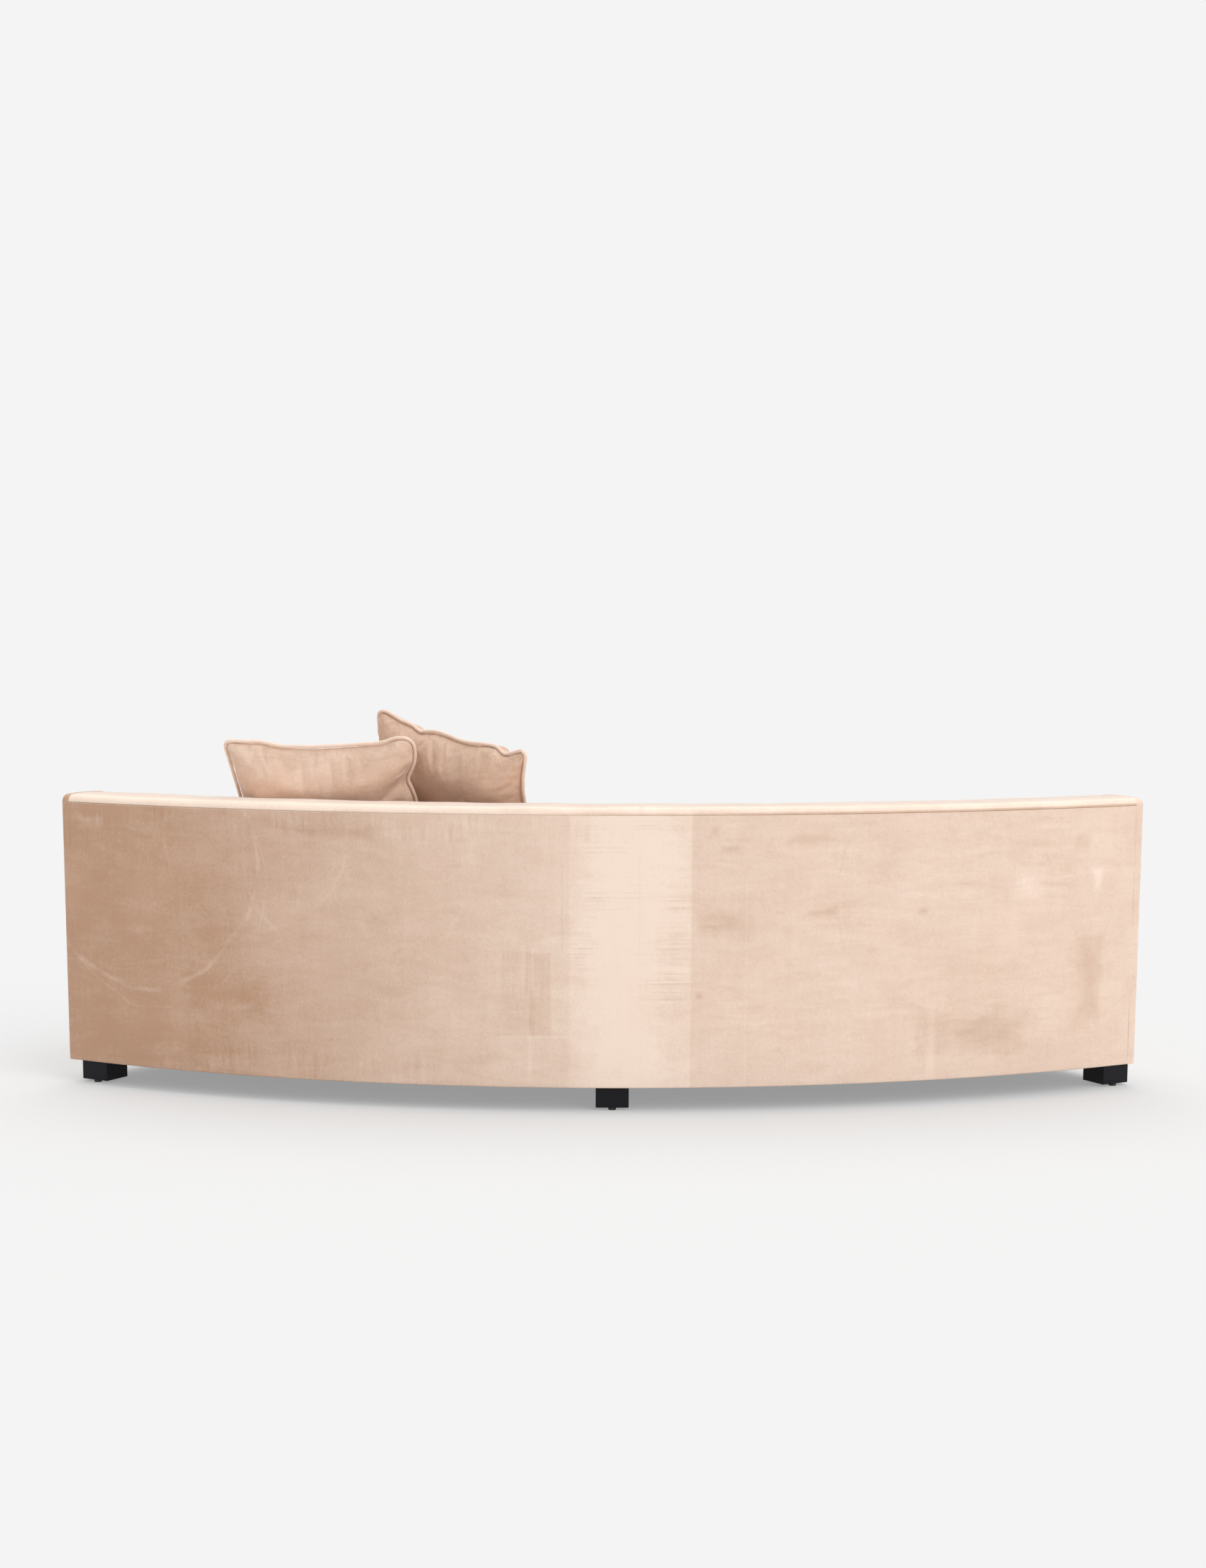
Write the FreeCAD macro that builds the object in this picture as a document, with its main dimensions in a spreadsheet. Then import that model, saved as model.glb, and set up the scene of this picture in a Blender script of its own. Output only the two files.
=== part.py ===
import FreeCAD, Part
import math
import os

import Sketcher

# Curved sofa, seen from behind in its photograph. Millimetres, +Z up, the seat faces -Y and the back bulges to +Y.
# Every curved piece is drawn as a radial section (radius, height) and turned about the curvature axis,
# which stands in front of the sofa; ORIGIN_SHIFT then brings the middle of the footprint to the origin.

V = FreeCAD.Vector
doc = FreeCAD.newDocument("curved_sofa")
nodes = []

# Driving dimensions
DIMENSIONS = {
    "outer_radius": 2800,
    "front_radius": 1900,
    "half_sweep": 30.6,
    "join_angle": -2.1,
    "under_height": 62,
    "deck_height": 288,
    "seam_height": 750,
    "crown": 20,
    "back_top_depth": 150,
    "back_seat_depth": 210,
    "end_round": 14,
    "front_round": 18,
    "crown_radius": 1000,
    "cap_sweep": 0.6,
    "seam_slit": 0.005,
    "cover": 2,
    "play": 0.3,
    "wadding": 8,
    "board": 5,
    "plywood": 22,
    "end_plywood": 18,
    "rear_plate_depth": 184,
    "front_plate_depth": 127,
    "cross_rail_high": 145,
    "cross_rail_gap": 30,
    "cross_rail_turn": 21,
    "rear_rail_low": 150,
    "post_turn": 27,
    "board_setback": 12,
    "end_overlap": 60,
    "back_foam": 50,
    "front_foam": 20,
    "deck_foam": 30,
    "front_edge_depth": 65,
    "wadding_end": 16.5,
    "webbing": 2,
    "strap_width": 70,
    "felt": 4,
    "felt_setback": 45,
    "felt_reach": 30,
    "dust_inset": 3,
    "dust_end": 10,
    "dust_lift": 0.5,
    "dust_thick": 1,
    "spring_wire": 3.5,
    "spring_loop": 24,
    "spring_pitch": 30,
    "clip_width": 20,
    "rail_height": 245,
    "glide_height": 7,
    "glide_radius": 10,
    "glide_inset": 29.7,
    "foot_side": 84,
    "foot_inset": 70,
    "foot_ease": 2,
    "bolt_radius": 4,
    "bolt_fit": 0.05,
    "nut_wall": 1.5,
    "nut_depth": 14,
    "nut_flange": 8,
    "cushion_height": 161,
    "cushion_round": 30,
    "cushion_front": 2,
    "cushion_gap": 6,
    "cushion_end_gap": 0.5,
    "zip_low": 342,
    "zip_width": 24,
    "zip_thick": 1.5,
    "zip_end": 4,
    "pillow_side": 516,
    "pillow_thick": 149,
    "piping_radius": 4.5,
}
dims = doc.addObject("Spreadsheet::Sheet", "Dims")
for row, (alias, value) in enumerate(DIMENSIONS.items(), start=1):
    dims.set(f"A{row}", alias)
    dims.set(f"B{row}", str(value))
    dims.setAlias(f"B{row}", alias)
doc.recompute()


def number(expression):
    """The value that a sheet expression has now."""
    value = dims.evalExpression(str(expression))
    return float(getattr(value, "Value", value))


# Layers of the back and the seat, as sheet expressions
R_OUT = "Dims.outer_radius"
R_WADDING = "(Dims.outer_radius - Dims.cover - Dims.play)"
R_BOARD = f"({R_WADDING} - Dims.wadding - Dims.play)"
R_FRAME = f"({R_BOARD} - Dims.board - Dims.play)"
R_SEAT_BACK = "(Dims.outer_radius - Dims.back_seat_depth)"
R_IN_TOP = "(Dims.outer_radius - Dims.back_top_depth)"
R_POST = f"({R_SEAT_BACK} + Dims.cover + Dims.back_foam + Dims.webbing + 3 * Dims.play)"
R_FRONT = "Dims.front_radius"
R_FRONT_FOAM = "(Dims.front_radius + Dims.cover + Dims.play)"
R_RAIL = f"({R_FRONT_FOAM} + Dims.front_foam + Dims.play)"
R_FEET_REAR = "(Dims.outer_radius - Dims.foot_inset)"
R_FEET_FRONT = "(Dims.front_radius + Dims.foot_inset)"
Z_FRAME = "(Dims.under_height + 2)"
Z_PLATE = f"({Z_FRAME} + Dims.plywood)"
Z_TOP = "(Dims.seam_height - 10)"
Z_DECK_FOAM = "(Dims.deck_height - Dims.cover - Dims.play)"
Z_FELT = f"({Z_DECK_FOAM} - Dims.deck_foam - Dims.play)"
Z_CROWN = "(Dims.seam_height + Dims.crown)"
R_DECK_FOAM = "(Dims.front_radius + Dims.front_edge_depth)"
R_FELT = "(Dims.front_radius + Dims.felt_setback)"
R_REAR_RAIL = f"({R_POST} - Dims.play - Dims.plywood)"
FRONT_CORNER = "(Dims.front_radius + Dims.end_round)"
ORIGIN_SHIFT = (
    f"-(Dims.outer_radius - Dims.end_round + {FRONT_CORNER}"
    f" * cos(Dims.half_sweep * 1deg - asin(Dims.end_round / {FRONT_CORNER}))) / 2"
)


def inner_face(height, offset="0"):
    """Radius of the sloped inner face of the back at a height, set back by an offset."""
    slope = "(Dims.back_seat_depth - Dims.back_top_depth) / (Dims.seam_height - Dims.deck_height)"
    return f"({R_SEAT_BACK} + {slope} * ({height} - Dims.deck_height) + {offset})"


def end_sweep(inset, radius):
    """Half sweep that stops an inset short of the sofa's end plane, at a radius."""
    return f"(Dims.half_sweep - 180 / pi * ({inset}) / ({radius}))"


R_TOP_PLATE = inner_face(Z_TOP, "(Dims.cover + Dims.back_foam + 2 * Dims.play)")
END_STACK = "(Dims.cover + Dims.wadding + Dims.end_plywood + 3 * Dims.play)"
CAP_START = "(Dims.half_sweep - Dims.cap_sweep)"


# Drawing helpers
def place(item, turn="0", lift="0", radius=None):
    """Stands an item in the sofa's frame: turned about the curvature axis, towards +X for a positive turn."""
    item.Placement = FreeCAD.Placement(V(0, 0, 0), FreeCAD.Rotation(V(0, 0, 1), 1))
    item.setExpression(".Placement.Rotation.Angle", f"-({turn}) * 1deg")
    reach = radius or "0"
    item.setExpression(".Placement.Base.x", f"{reach} * sin(({turn}) * 1deg)")
    item.setExpression(".Placement.Base.y", f"{reach} * cos(({turn}) * 1deg) + ({ORIGIN_SHIFT})")
    item.setExpression(".Placement.Base.z", f"{lift}")


def new_body(label):
    body = doc.addObject("PartDesign::Body", label)
    body.Label = label
    return body


def new_sketch(body, role, offset=None):
    sketch = body.newObject("Sketcher::SketchObject", f"{body.Name}_sketch")
    plane = [f for f in body.Origin.OriginFeatures if f.Role == role][0]
    sketch.AttachmentSupport = [(plane, "")]
    sketch.MapMode = "FlatFace"
    if offset:
        sketch.setExpression(".AttachmentOffset.Base.z", offset)
    return sketch


def fix(sketch, kind, *places, size):
    """Adds a dimension bound to the sheet."""
    index = sketch.addConstraint(Sketcher.Constraint(kind, *places, number(size)))
    sketch.setExpression(f"Constraints[{index}]", str(size))


def outline(sketch, points):
    """Closed outline. A point is (x, y), or (x, y, radius) where an arc leads on to the next point,
    its centre to the left of the way for a positive radius."""
    at = [V(number(p[0]), number(p[1]), 0) for p in points]
    count = len(points)
    for i, point in enumerate(points):
        start, end = at[i], at[(i + 1) % count]
        if len(point) == 2:
            sketch.addGeometry(Part.LineSegment(start, end))
            continue
        radius = number(point[2])
        chord = end - start
        left = V(-chord.y, chord.x, 0).normalize() * math.copysign(1, radius)
        middle = (start + end) * 0.5
        centre = middle + left * math.sqrt(radius**2 - chord.Length**2 / 4)
        bulge = centre - left * abs(radius)
        sketch.addGeometry(Part.Arc(start, bulge, end))
    for i, point in enumerate(points):
        arc = len(point) == 3
        forwards = not arc or number(point[2]) > 0
        first, last = (1, 2) if forwards else (2, 1)
        following = points[(i + 1) % count]
        next_first = 2 if len(following) == 3 and number(following[2]) < 0 else 1
        sketch.addConstraint(Sketcher.Constraint("Coincident", i, last, (i + 1) % count, next_first))
        fix(sketch, "DistanceX", -1, 1, i, first, size=point[0])
        fix(sketch, "DistanceY", -1, 1, i, first, size=point[1])
        if arc:
            fix(sketch, "Radius", i, size=f"abs({point[2]})")


def ring(label, points, start, end, keep=True):
    """A radial section (radius, height) turned about the curvature axis from one angle to another."""
    body = new_body(label)
    sketch = new_sketch(body, "YZ_Plane")
    outline(sketch, points)
    turn = body.newObject("PartDesign::Revolution", f"{label}_turn")
    turn.Profile = sketch
    turn.ReferenceAxis = (sketch, ["V_Axis"])
    turn.Midplane = True
    turn.setExpression("Angle", f"({end}) - ({start})")
    place(body, f"(({start}) + ({end})) / 2")
    if keep:
        nodes.append(body)
    return body


def box_section(r_low, r_high, z_low, z_high):
    return [(r_low, z_low), (r_high, z_low), (r_high, z_high), (r_low, z_high)]


def arc_pair(label, points):
    """A cover from one end cover to the other, parted at the join angle: the left piece is towards +X."""
    ring(f"{label}_right", points, f"-{CAP_START}", "Dims.join_angle - Dims.seam_slit")
    ring(f"{label}_left", points, "Dims.join_angle + Dims.seam_slit", CAP_START)


def plate(label, points, low, high, turn, keep=True):
    """A flat radial board: its outline in (radius, height), its faces across the sweep at low and high."""
    body = new_body(label)
    sketch = new_sketch(body, "YZ_Plane", low)
    outline(sketch, points)
    pad = body.newObject("PartDesign::Pad", f"{label}_pad")
    pad.Profile = sketch
    pad.setExpression("Length", f"({high}) - ({low})")
    place(body, turn)
    if keep:
        nodes.append(body)
    return body


def spread(body, sweep, count):
    """Repeats the body's last feature evenly about the curvature axis over a sweep, towards -X."""
    feature = body.Tip
    pattern = body.newObject("PartDesign::PolarPattern", f"{body.Name}_spread")
    pattern.Originals = [feature]
    axis = [f for f in body.Origin.OriginFeatures if f.Role == "Z_Axis"][0]
    pattern.Axis = (axis, [""])
    pattern.Mode = "Extent"
    pattern.setExpression("Angle", sweep)
    pattern.Occurrences = count
    body.Tip = pattern


def cylinder(label, radius, low, high, turn, reach):
    item = doc.addObject("Part::Cylinder", label)
    item.setExpression("Radius", radius)
    item.setExpression("Height", f"({high}) - ({low})")
    place(item, turn, low, reach)
    return item


def joined(kind, label, items, keep=True):
    """A Part::MultiFuse or Part::Compound of several items."""
    group = doc.addObject(kind, label)
    group.Label = label
    if kind == "Part::Compound":
        group.Links = items
    else:
        group.Shapes = items
    if keep:
        nodes.append(group)
    return group


def cut(label, base, tool):
    """Base less tool. The base leaves the list of nodes."""
    if base in nodes:
        nodes.remove(base)
    base.Label = f"{base.Label}_blank"
    result = doc.addObject("Part::Cut", f"{label}_cut")
    result.Base = base
    result.Tool = tool
    result.Label = label
    nodes.append(result)
    return result


def skin(outer, hollow):
    """Closed skin between an outer form and the smaller one inside it."""
    return Part.makeSolid(Part.makeCompound([outer.Shells[0], hollow.Shells[0].reversed()]))


def solid(label, shape):
    """A soft form that only Part's own functions make."""
    item = doc.addObject("Part::Feature", label)
    item.Label = label
    item.Shape = shape
    nodes.append(item)
    return item


# Feet, their glides and their bolts
FEET = {
    "rear_left": (R_FEET_REAR, "29.2"),
    "rear_middle": (R_FEET_REAR, "-0.65"),
    "rear_right": (R_FEET_REAR, "-29.69"),
    "front_left": (R_FEET_FRONT, "28.9"),
    "front_middle": (R_FEET_FRONT, "0"),
    "front_right": (R_FEET_FRONT, "-28.9"),
}
BOLT_LOW = "28"
BOLT_HIGH = f"({Z_PLATE} + 6)"
NAIL_RADIUS = "1.5"
NAIL_HIGH = "(Dims.glide_height + 14)"
NAIL_FIT = "0.05"


def foot(name, reach, turn):
    body = new_body(f"foot_{name}")
    sketch = new_sketch(body, "XY_Plane", "Dims.glide_height")
    half = number("Dims.foot_side / 2")
    corners = [V(-half, -half, 0), V(half, -half, 0), V(half, half, 0), V(-half, half, 0)]
    for side in range(4):
        sketch.addGeometry(Part.LineSegment(corners[side], corners[(side + 1) % 4]))
    for side in range(4):
        sketch.addConstraint(Sketcher.Constraint("Coincident", side, 2, (side + 1) % 4, 1))
        sketch.addConstraint(Sketcher.Constraint("Horizontal" if side % 2 == 0 else "Vertical", side))
    sketch.addConstraint(Sketcher.Constraint("Symmetric", 0, 1, 2, 1, -1, 1))
    fix(sketch, "DistanceX", 0, 1, 0, 2, size="Dims.foot_side")
    fix(sketch, "DistanceY", 1, 1, 1, 2, size="Dims.foot_side")
    pad = body.newObject("PartDesign::Pad", f"foot_{name}_pad")
    pad.Profile = sketch
    pad.setExpression("Length", "Dims.under_height - Dims.glide_height")
    doc.recompute()
    upright = [
        f"Edge{i}"
        for i, edge in enumerate(pad.Shape.Edges, start=1)
        if abs(edge.tangentAt(edge.FirstParameter).z) > 0.99
    ]
    ease = body.newObject("PartDesign::Fillet", f"foot_{name}_ease")
    ease.Base = (pad, upright)
    ease.setExpression("Radius", "Dims.foot_ease")
    place(body, turn, "0", reach)
    bolt_hole_radius = "Dims.bolt_radius + Dims.bolt_fit"
    holes = [cylinder(f"foot_{name}_bolt_hole", bolt_hole_radius, BOLT_LOW, Z_PLATE, turn, reach)]
    for side in (1, -1):
        nail_reach = f"({reach} + {side} * Dims.glide_inset)"
        nail_hole_radius = f"{NAIL_RADIUS} + {NAIL_FIT}"
        holes.append(cylinder(f"foot_{name}_nail_hole", nail_hole_radius, "0", NAIL_HIGH, turn, nail_reach))
    drills = joined("Part::MultiFuse", f"foot_{name}_drills", holes, keep=False)
    cut(f"foot_{name}", body, drills)


def glides():
    """Round nail-on glides, a pair under each foot on its radial line."""
    items = []
    for name, (reach, turn) in FEET.items():
        for side in (1, -1):
            glide_reach = f"({reach} + {side} * Dims.glide_inset)"
            disc = cylinder(f"glide_disc_{name}", "Dims.glide_radius", "0", "Dims.glide_height", turn, glide_reach)
            nail = cylinder(f"glide_nail_{name}", NAIL_RADIUS, "0", NAIL_HIGH, turn, glide_reach)
            items.append(joined("Part::MultiFuse", f"glide_{name}", [disc, nail], keep=False))
    joined("Part::Compound", "foot_glides", items)


def bolts():
    shanks = []
    nuts = []
    for name, (reach, turn) in FEET.items():
        shanks.append(cylinder(f"bolt_{name}", "Dims.bolt_radius", BOLT_LOW, BOLT_HIGH, turn, reach))
        wall = "Dims.bolt_radius + Dims.nut_wall"
        rim = "Dims.bolt_radius + Dims.nut_flange"
        low, high = f"{Z_PLATE} - Dims.nut_depth", f"{Z_PLATE} + Dims.nut_wall"
        barrel = cylinder(f"nut_barrel_{name}", wall, low, Z_PLATE, turn, reach)
        flange = cylinder(f"nut_flange_{name}", rim, Z_PLATE, high, turn, reach)
        whole = joined("Part::MultiFuse", f"nut_{name}", [barrel, flange], keep=False)
        bore = cylinder(f"nut_bore_{name}", "Dims.bolt_radius + Dims.bolt_fit", f"{low} - 1", f"{high} + 1", turn, reach)
        nut = doc.addObject("Part::Cut", f"nut_cut_{name}")
        nut.Base = whole
        nut.Tool = bore
        nuts.append(nut)
    joined("Part::Compound", "hanger_bolts", shanks)
    joined("Part::Compound", "tee_nuts", nuts)


def drilled(label, base, row):
    """Holes for the tee nuts through a plate, at the feet of one row."""
    radius = "Dims.bolt_radius + Dims.nut_wall + 2 * Dims.bolt_fit"
    holes = [
        cylinder(f"{label}_hole_{name}", radius, f"{Z_FRAME} - 1", f"{Z_PLATE} + 1", turn, reach)
        for name, (reach, turn) in FEET.items()
        if name.startswith(row)
    ]
    drills = joined("Part::MultiFuse", f"{label}_drills", holes, keep=False)
    cut(label, base, drills)


# Wooden frame
def base_frame():
    r_rear = f"({R_FRAME} - Dims.rear_plate_depth)"
    sweep = end_sweep(END_STACK, r_rear)
    back = ring("base_back_plate", box_section(r_rear, R_FRAME, Z_FRAME, Z_PLATE), f"-{sweep}", sweep)
    front_sweep = end_sweep(END_STACK, R_RAIL)
    front_section = box_section(R_RAIL, f"({R_RAIL} + Dims.front_plate_depth)", Z_FRAME, Z_PLATE)
    front = ring("base_front_plate", front_section, f"-{front_sweep}", front_sweep)
    drilled("base_back_plate", back, "rear")
    drilled("base_front_plate", front, "front")
    rail_section = box_section(R_RAIL, f"({R_RAIL} + Dims.end_plywood)", Z_PLATE, "Dims.rail_height")
    ring("front_rail", rail_section, f"-{front_sweep}", front_sweep)
    rear_sweep = end_sweep(END_STACK, R_REAR_RAIL)
    rear_section = box_section(R_REAR_RAIL, f"({R_POST} - Dims.play)", "Dims.rear_rail_low", "Dims.rail_height")
    ring("rear_seat_rail", rear_section, f"-{rear_sweep}", rear_sweep)


def cross_rails():
    low, high = f"({R_RAIL} + Dims.end_plywood + Dims.play)", f"({R_POST} - Dims.cross_rail_gap)"
    section = box_section(low, high, Z_PLATE, "Dims.cross_rail_high")
    body = plate("cross_rails", section, "-Dims.plywood / 2", "Dims.plywood / 2", "Dims.cross_rail_turn")
    spread(body, "2 * Dims.cross_rail_turn", 4)


def back_posts():
    z_high = f"({Z_TOP} - Dims.plywood)"
    offset = "(Dims.cover + Dims.back_foam + Dims.webbing + 3 * Dims.play)"
    edge = f"({R_FRAME} - Dims.play)"
    points = [
        (R_POST, Z_PLATE),
        (edge, Z_PLATE),
        (edge, z_high),
        (inner_face(z_high, offset), z_high),
        (R_POST, "Dims.deck_height"),
    ]
    body = plate("back_posts", points, "-Dims.plywood / 2", "Dims.plywood / 2", "Dims.post_turn")
    spread(body, "2 * Dims.post_turn", 9)


def back_boards():
    sweep = end_sweep(END_STACK, R_TOP_PLATE)
    plate_section = box_section(R_TOP_PLATE, R_FRAME, f"({Z_TOP} - Dims.plywood)", Z_TOP)
    ring("back_top_plate", plate_section, f"-{sweep}", sweep)
    board_section = box_section(f"({R_BOARD} - Dims.board)", R_BOARD, Z_FRAME, Z_TOP)
    ring("outside_back_board", board_section, f"-{sweep}", sweep)


def end_boards():
    """L-shaped plywood ends that close the frame."""
    low = "(Dims.cover + Dims.wadding + Dims.end_plywood + 2 * Dims.play)"
    high = "(Dims.cover + Dims.wadding + 2 * Dims.play)"
    points = [
        (R_RAIL, Z_FRAME),
        (R_FRAME, Z_FRAME),
        (R_FRAME, Z_TOP),
        (inner_face(Z_TOP, "Dims.board_setback"), Z_TOP),
        (f"({R_SEAT_BACK} + Dims.board_setback)", "(Dims.deck_height - Dims.board_setback)"),
        (R_RAIL, "(Dims.deck_height - Dims.board_setback)"),
    ]
    wad_low = "(Dims.cover + Dims.play + Dims.wadding)"
    wad_high = "(Dims.cover + Dims.play)"
    plate("end_board_left", points, f"-{low}", f"-{high}", "Dims.half_sweep")
    plate("end_board_right", points, high, low, "-Dims.half_sweep")
    plate("end_wadding_left", points, f"-{wad_low}", f"-{wad_high}", "Dims.half_sweep")
    plate("end_wadding_right", points, wad_high, wad_low, "-Dims.half_sweep")


STRAP_HEIGHTS = (330, 450, 570)


def back_webbing():
    """Elastic straps along the inner edges of the posts."""
    front = "(Dims.cover + Dims.back_foam + 2 * Dims.play)"
    rear = f"({front} + Dims.webbing)"
    sweep = end_sweep(END_STACK, R_POST)
    straps = []
    for index, low in enumerate(STRAP_HEIGHTS):
        high = f"({low} + Dims.strap_width)"
        points = [
            (inner_face(low, front), low),
            (inner_face(low, rear), low),
            (inner_face(high, rear), high),
            (inner_face(high, front), high),
        ]
        straps.append(ring(f"strap_{index}", points, f"-{sweep}", sweep, keep=False))
    joined("Part::Compound", "back_webbing", straps)


# Springs
SPRING_COUNT = 11
SPRING_STEP = 5
SPRING_TURN = SPRING_STEP * (SPRING_COUNT - 1) / 2
SPRING_LOW = 1950
SPRING_HIGH = 2612
CLIP_ROWS = (("1932", "1956"), ("2624", "2642"))
Z_SPRING = f"({Z_FELT} - Dims.felt - Dims.play - Dims.spring_wire / 2)"


def spring_wire_path():
    """Zigzag of straight strokes joined by half circles, from the front rail to the rear rail."""
    pitch = number("Dims.spring_pitch") / 2
    reach = number("Dims.spring_loop")
    height = number(Z_SPRING)
    bend = pitch / 2
    strokes = int((SPRING_HIGH - SPRING_LOW) / pitch)
    edges = []
    for i in range(strokes):
        y = SPRING_LOW + i * pitch
        way = 1 if i % 2 == 0 else -1
        start = V(-way * (reach - bend), y, height)
        end = V(way * (reach - bend), y, height)
        edges.append(Part.LineSegment(start, end).toShape())
        if i < strokes - 1:
            turn = end + V(way * bend, bend, 0)
            edges.append(Part.Arc(end, turn, end + V(0, pitch, 0)).toShape())
    return Part.Wire(edges)


def springs():
    path = spring_wire_path()
    first = path.Edges[0].Vertexes[0].Point
    circle = Part.Circle(first, V(1, 0, 0), number("Dims.spring_wire") / 2)
    coil = path.makePipeShell([Part.Wire([circle.toShape()])], True, False)
    copies = []
    for index in range(SPRING_COUNT):
        copy = coil.copy()
        copy.rotate(V(0, 0, 0), V(0, 0, 1), SPRING_TURN - index * SPRING_STEP)
        copies.append(copy)
    item = solid("seat_springs", Part.makeCompound(copies))
    item.Placement = FreeCAD.Placement(V(0, number(ORIGIN_SHIFT), 0), FreeCAD.Rotation())


def spring_clips():
    """Folded clips that hold the ends of the springs on the two rails."""
    clip_high = f"({Z_SPRING} - (Dims.spring_wire + Dims.play) / 2)"
    clips = []
    half = "Dims.clip_width / 2"
    for index, (low, high) in enumerate(CLIP_ROWS):
        section = box_section(low, high, "Dims.rail_height", clip_high)
        clips.append(plate(f"clip_row_{index}", section, f"-{half}", half, f"{SPRING_TURN}", keep=False))
        spread(clips[-1], f"{2 * SPRING_TURN}", SPRING_COUNT)
    joined("Part::Compound", "spring_clips", clips)


# Padding
def padding():
    back_sweep = end_sweep("Dims.wadding_end", R_WADDING)
    ring(
        "outside_back_wadding",
        box_section(f"({R_WADDING} - Dims.wadding)", R_WADDING, Z_FRAME, Z_TOP),
        f"-{back_sweep}",
        back_sweep,
    )
    foam_sweep = end_sweep(END_STACK, R_SEAT_BACK)
    front = "(Dims.cover + Dims.play)"
    rear = f"({front} + Dims.back_foam)"
    low = f"({Z_FELT} + Dims.play)"
    ring(
        "inside_back_foam",
        [
            (f"({R_SEAT_BACK} + {front})", low),
            (f"({R_SEAT_BACK} + {rear})", low),
            (f"({R_SEAT_BACK} + {rear})", "Dims.deck_height"),
            (inner_face(Z_TOP, rear), Z_TOP),
            (inner_face(Z_TOP, front), Z_TOP),
            (f"({R_SEAT_BACK} + {front})", "Dims.deck_height"),
        ],
        f"-{foam_sweep}",
        foam_sweep,
    )
    ring("top_foam", crown_points("(Dims.cover + Dims.play)", f"({Z_TOP} + Dims.play)"), f"-{CAP_START}", CAP_START)
    deck_sweep = end_sweep(END_STACK, R_DECK_FOAM)
    ring(
        "deck_foam",
        box_section(R_DECK_FOAM, f"({R_SEAT_BACK} + Dims.cover)", f"({Z_FELT} + Dims.play)", Z_DECK_FOAM),
        f"-{deck_sweep}",
        deck_sweep,
    )
    felt_sweep = end_sweep(END_STACK, R_FELT)
    ring(
        "spring_insulator",
        box_section(R_FELT, f"({R_SEAT_BACK} + Dims.felt_reach)", f"({Z_FELT} - Dims.felt)", Z_FELT),
        f"-{felt_sweep}",
        felt_sweep,
    )
    edge_sweep = end_sweep(END_STACK, R_FRONT_FOAM)
    edge_round = "(Dims.front_round - Dims.cover - Dims.play)"
    ring(
        "front_edge_foam",
        [
            (R_FRONT_FOAM, Z_FRAME),
            (f"({R_FRONT_FOAM} + Dims.front_foam)", Z_FRAME),
            (f"({R_FRONT_FOAM} + Dims.front_foam)", f"({Z_FELT} + Dims.play)"),
            (f"({R_DECK_FOAM} - Dims.play)", f"({Z_FELT} + Dims.play)"),
            (f"({R_DECK_FOAM} - Dims.play)", Z_DECK_FOAM),
            (f"({R_FRONT_FOAM} + {edge_round})", Z_DECK_FOAM, edge_round),
            (R_FRONT_FOAM, f"({Z_DECK_FOAM} - {edge_round})"),
        ],
        f"-{edge_sweep}",
        edge_sweep,
    )


def crown_points(inset, low):
    """Rounded top of the back: two quarter rounds and an almost flat arc between them."""
    corner = f"(Dims.crown - {inset})"
    top = f"({Z_CROWN} - {inset})"
    outer, inner = f"({R_OUT} - {inset})", f"({R_IN_TOP} + {inset})"
    return [
        (inner, low),
        (outer, low),
        (outer, "Dims.seam_height", corner),
        (f"({R_OUT} - Dims.crown)", top, "Dims.crown_radius"),
        (f"({R_IN_TOP} + Dims.crown)", top, corner),
        (inner, "Dims.seam_height"),
    ]


# Covers
def top_band():
    """Crescent of cover over the top of the back, from seam to seam."""
    top = f"({Z_CROWN} - Dims.cover)"
    corner = "(Dims.crown - Dims.cover)"
    points = [
        (f"({R_IN_TOP} + Dims.cover)", "Dims.seam_height", f"-{corner}"),
        (f"({R_IN_TOP} + Dims.crown)", top, "-Dims.crown_radius"),
        (f"({R_OUT} - Dims.crown)", top, f"-{corner}"),
        (f"({R_OUT} - Dims.cover)", "Dims.seam_height"),
        (R_OUT, "Dims.seam_height", "Dims.crown"),
        (f"({R_OUT} - Dims.crown)", Z_CROWN, "Dims.crown_radius"),
        (f"({R_IN_TOP} + Dims.crown)", Z_CROWN, "Dims.crown"),
        (R_IN_TOP, "Dims.seam_height"),
    ]
    arc_pair("top_band", points)


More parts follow.
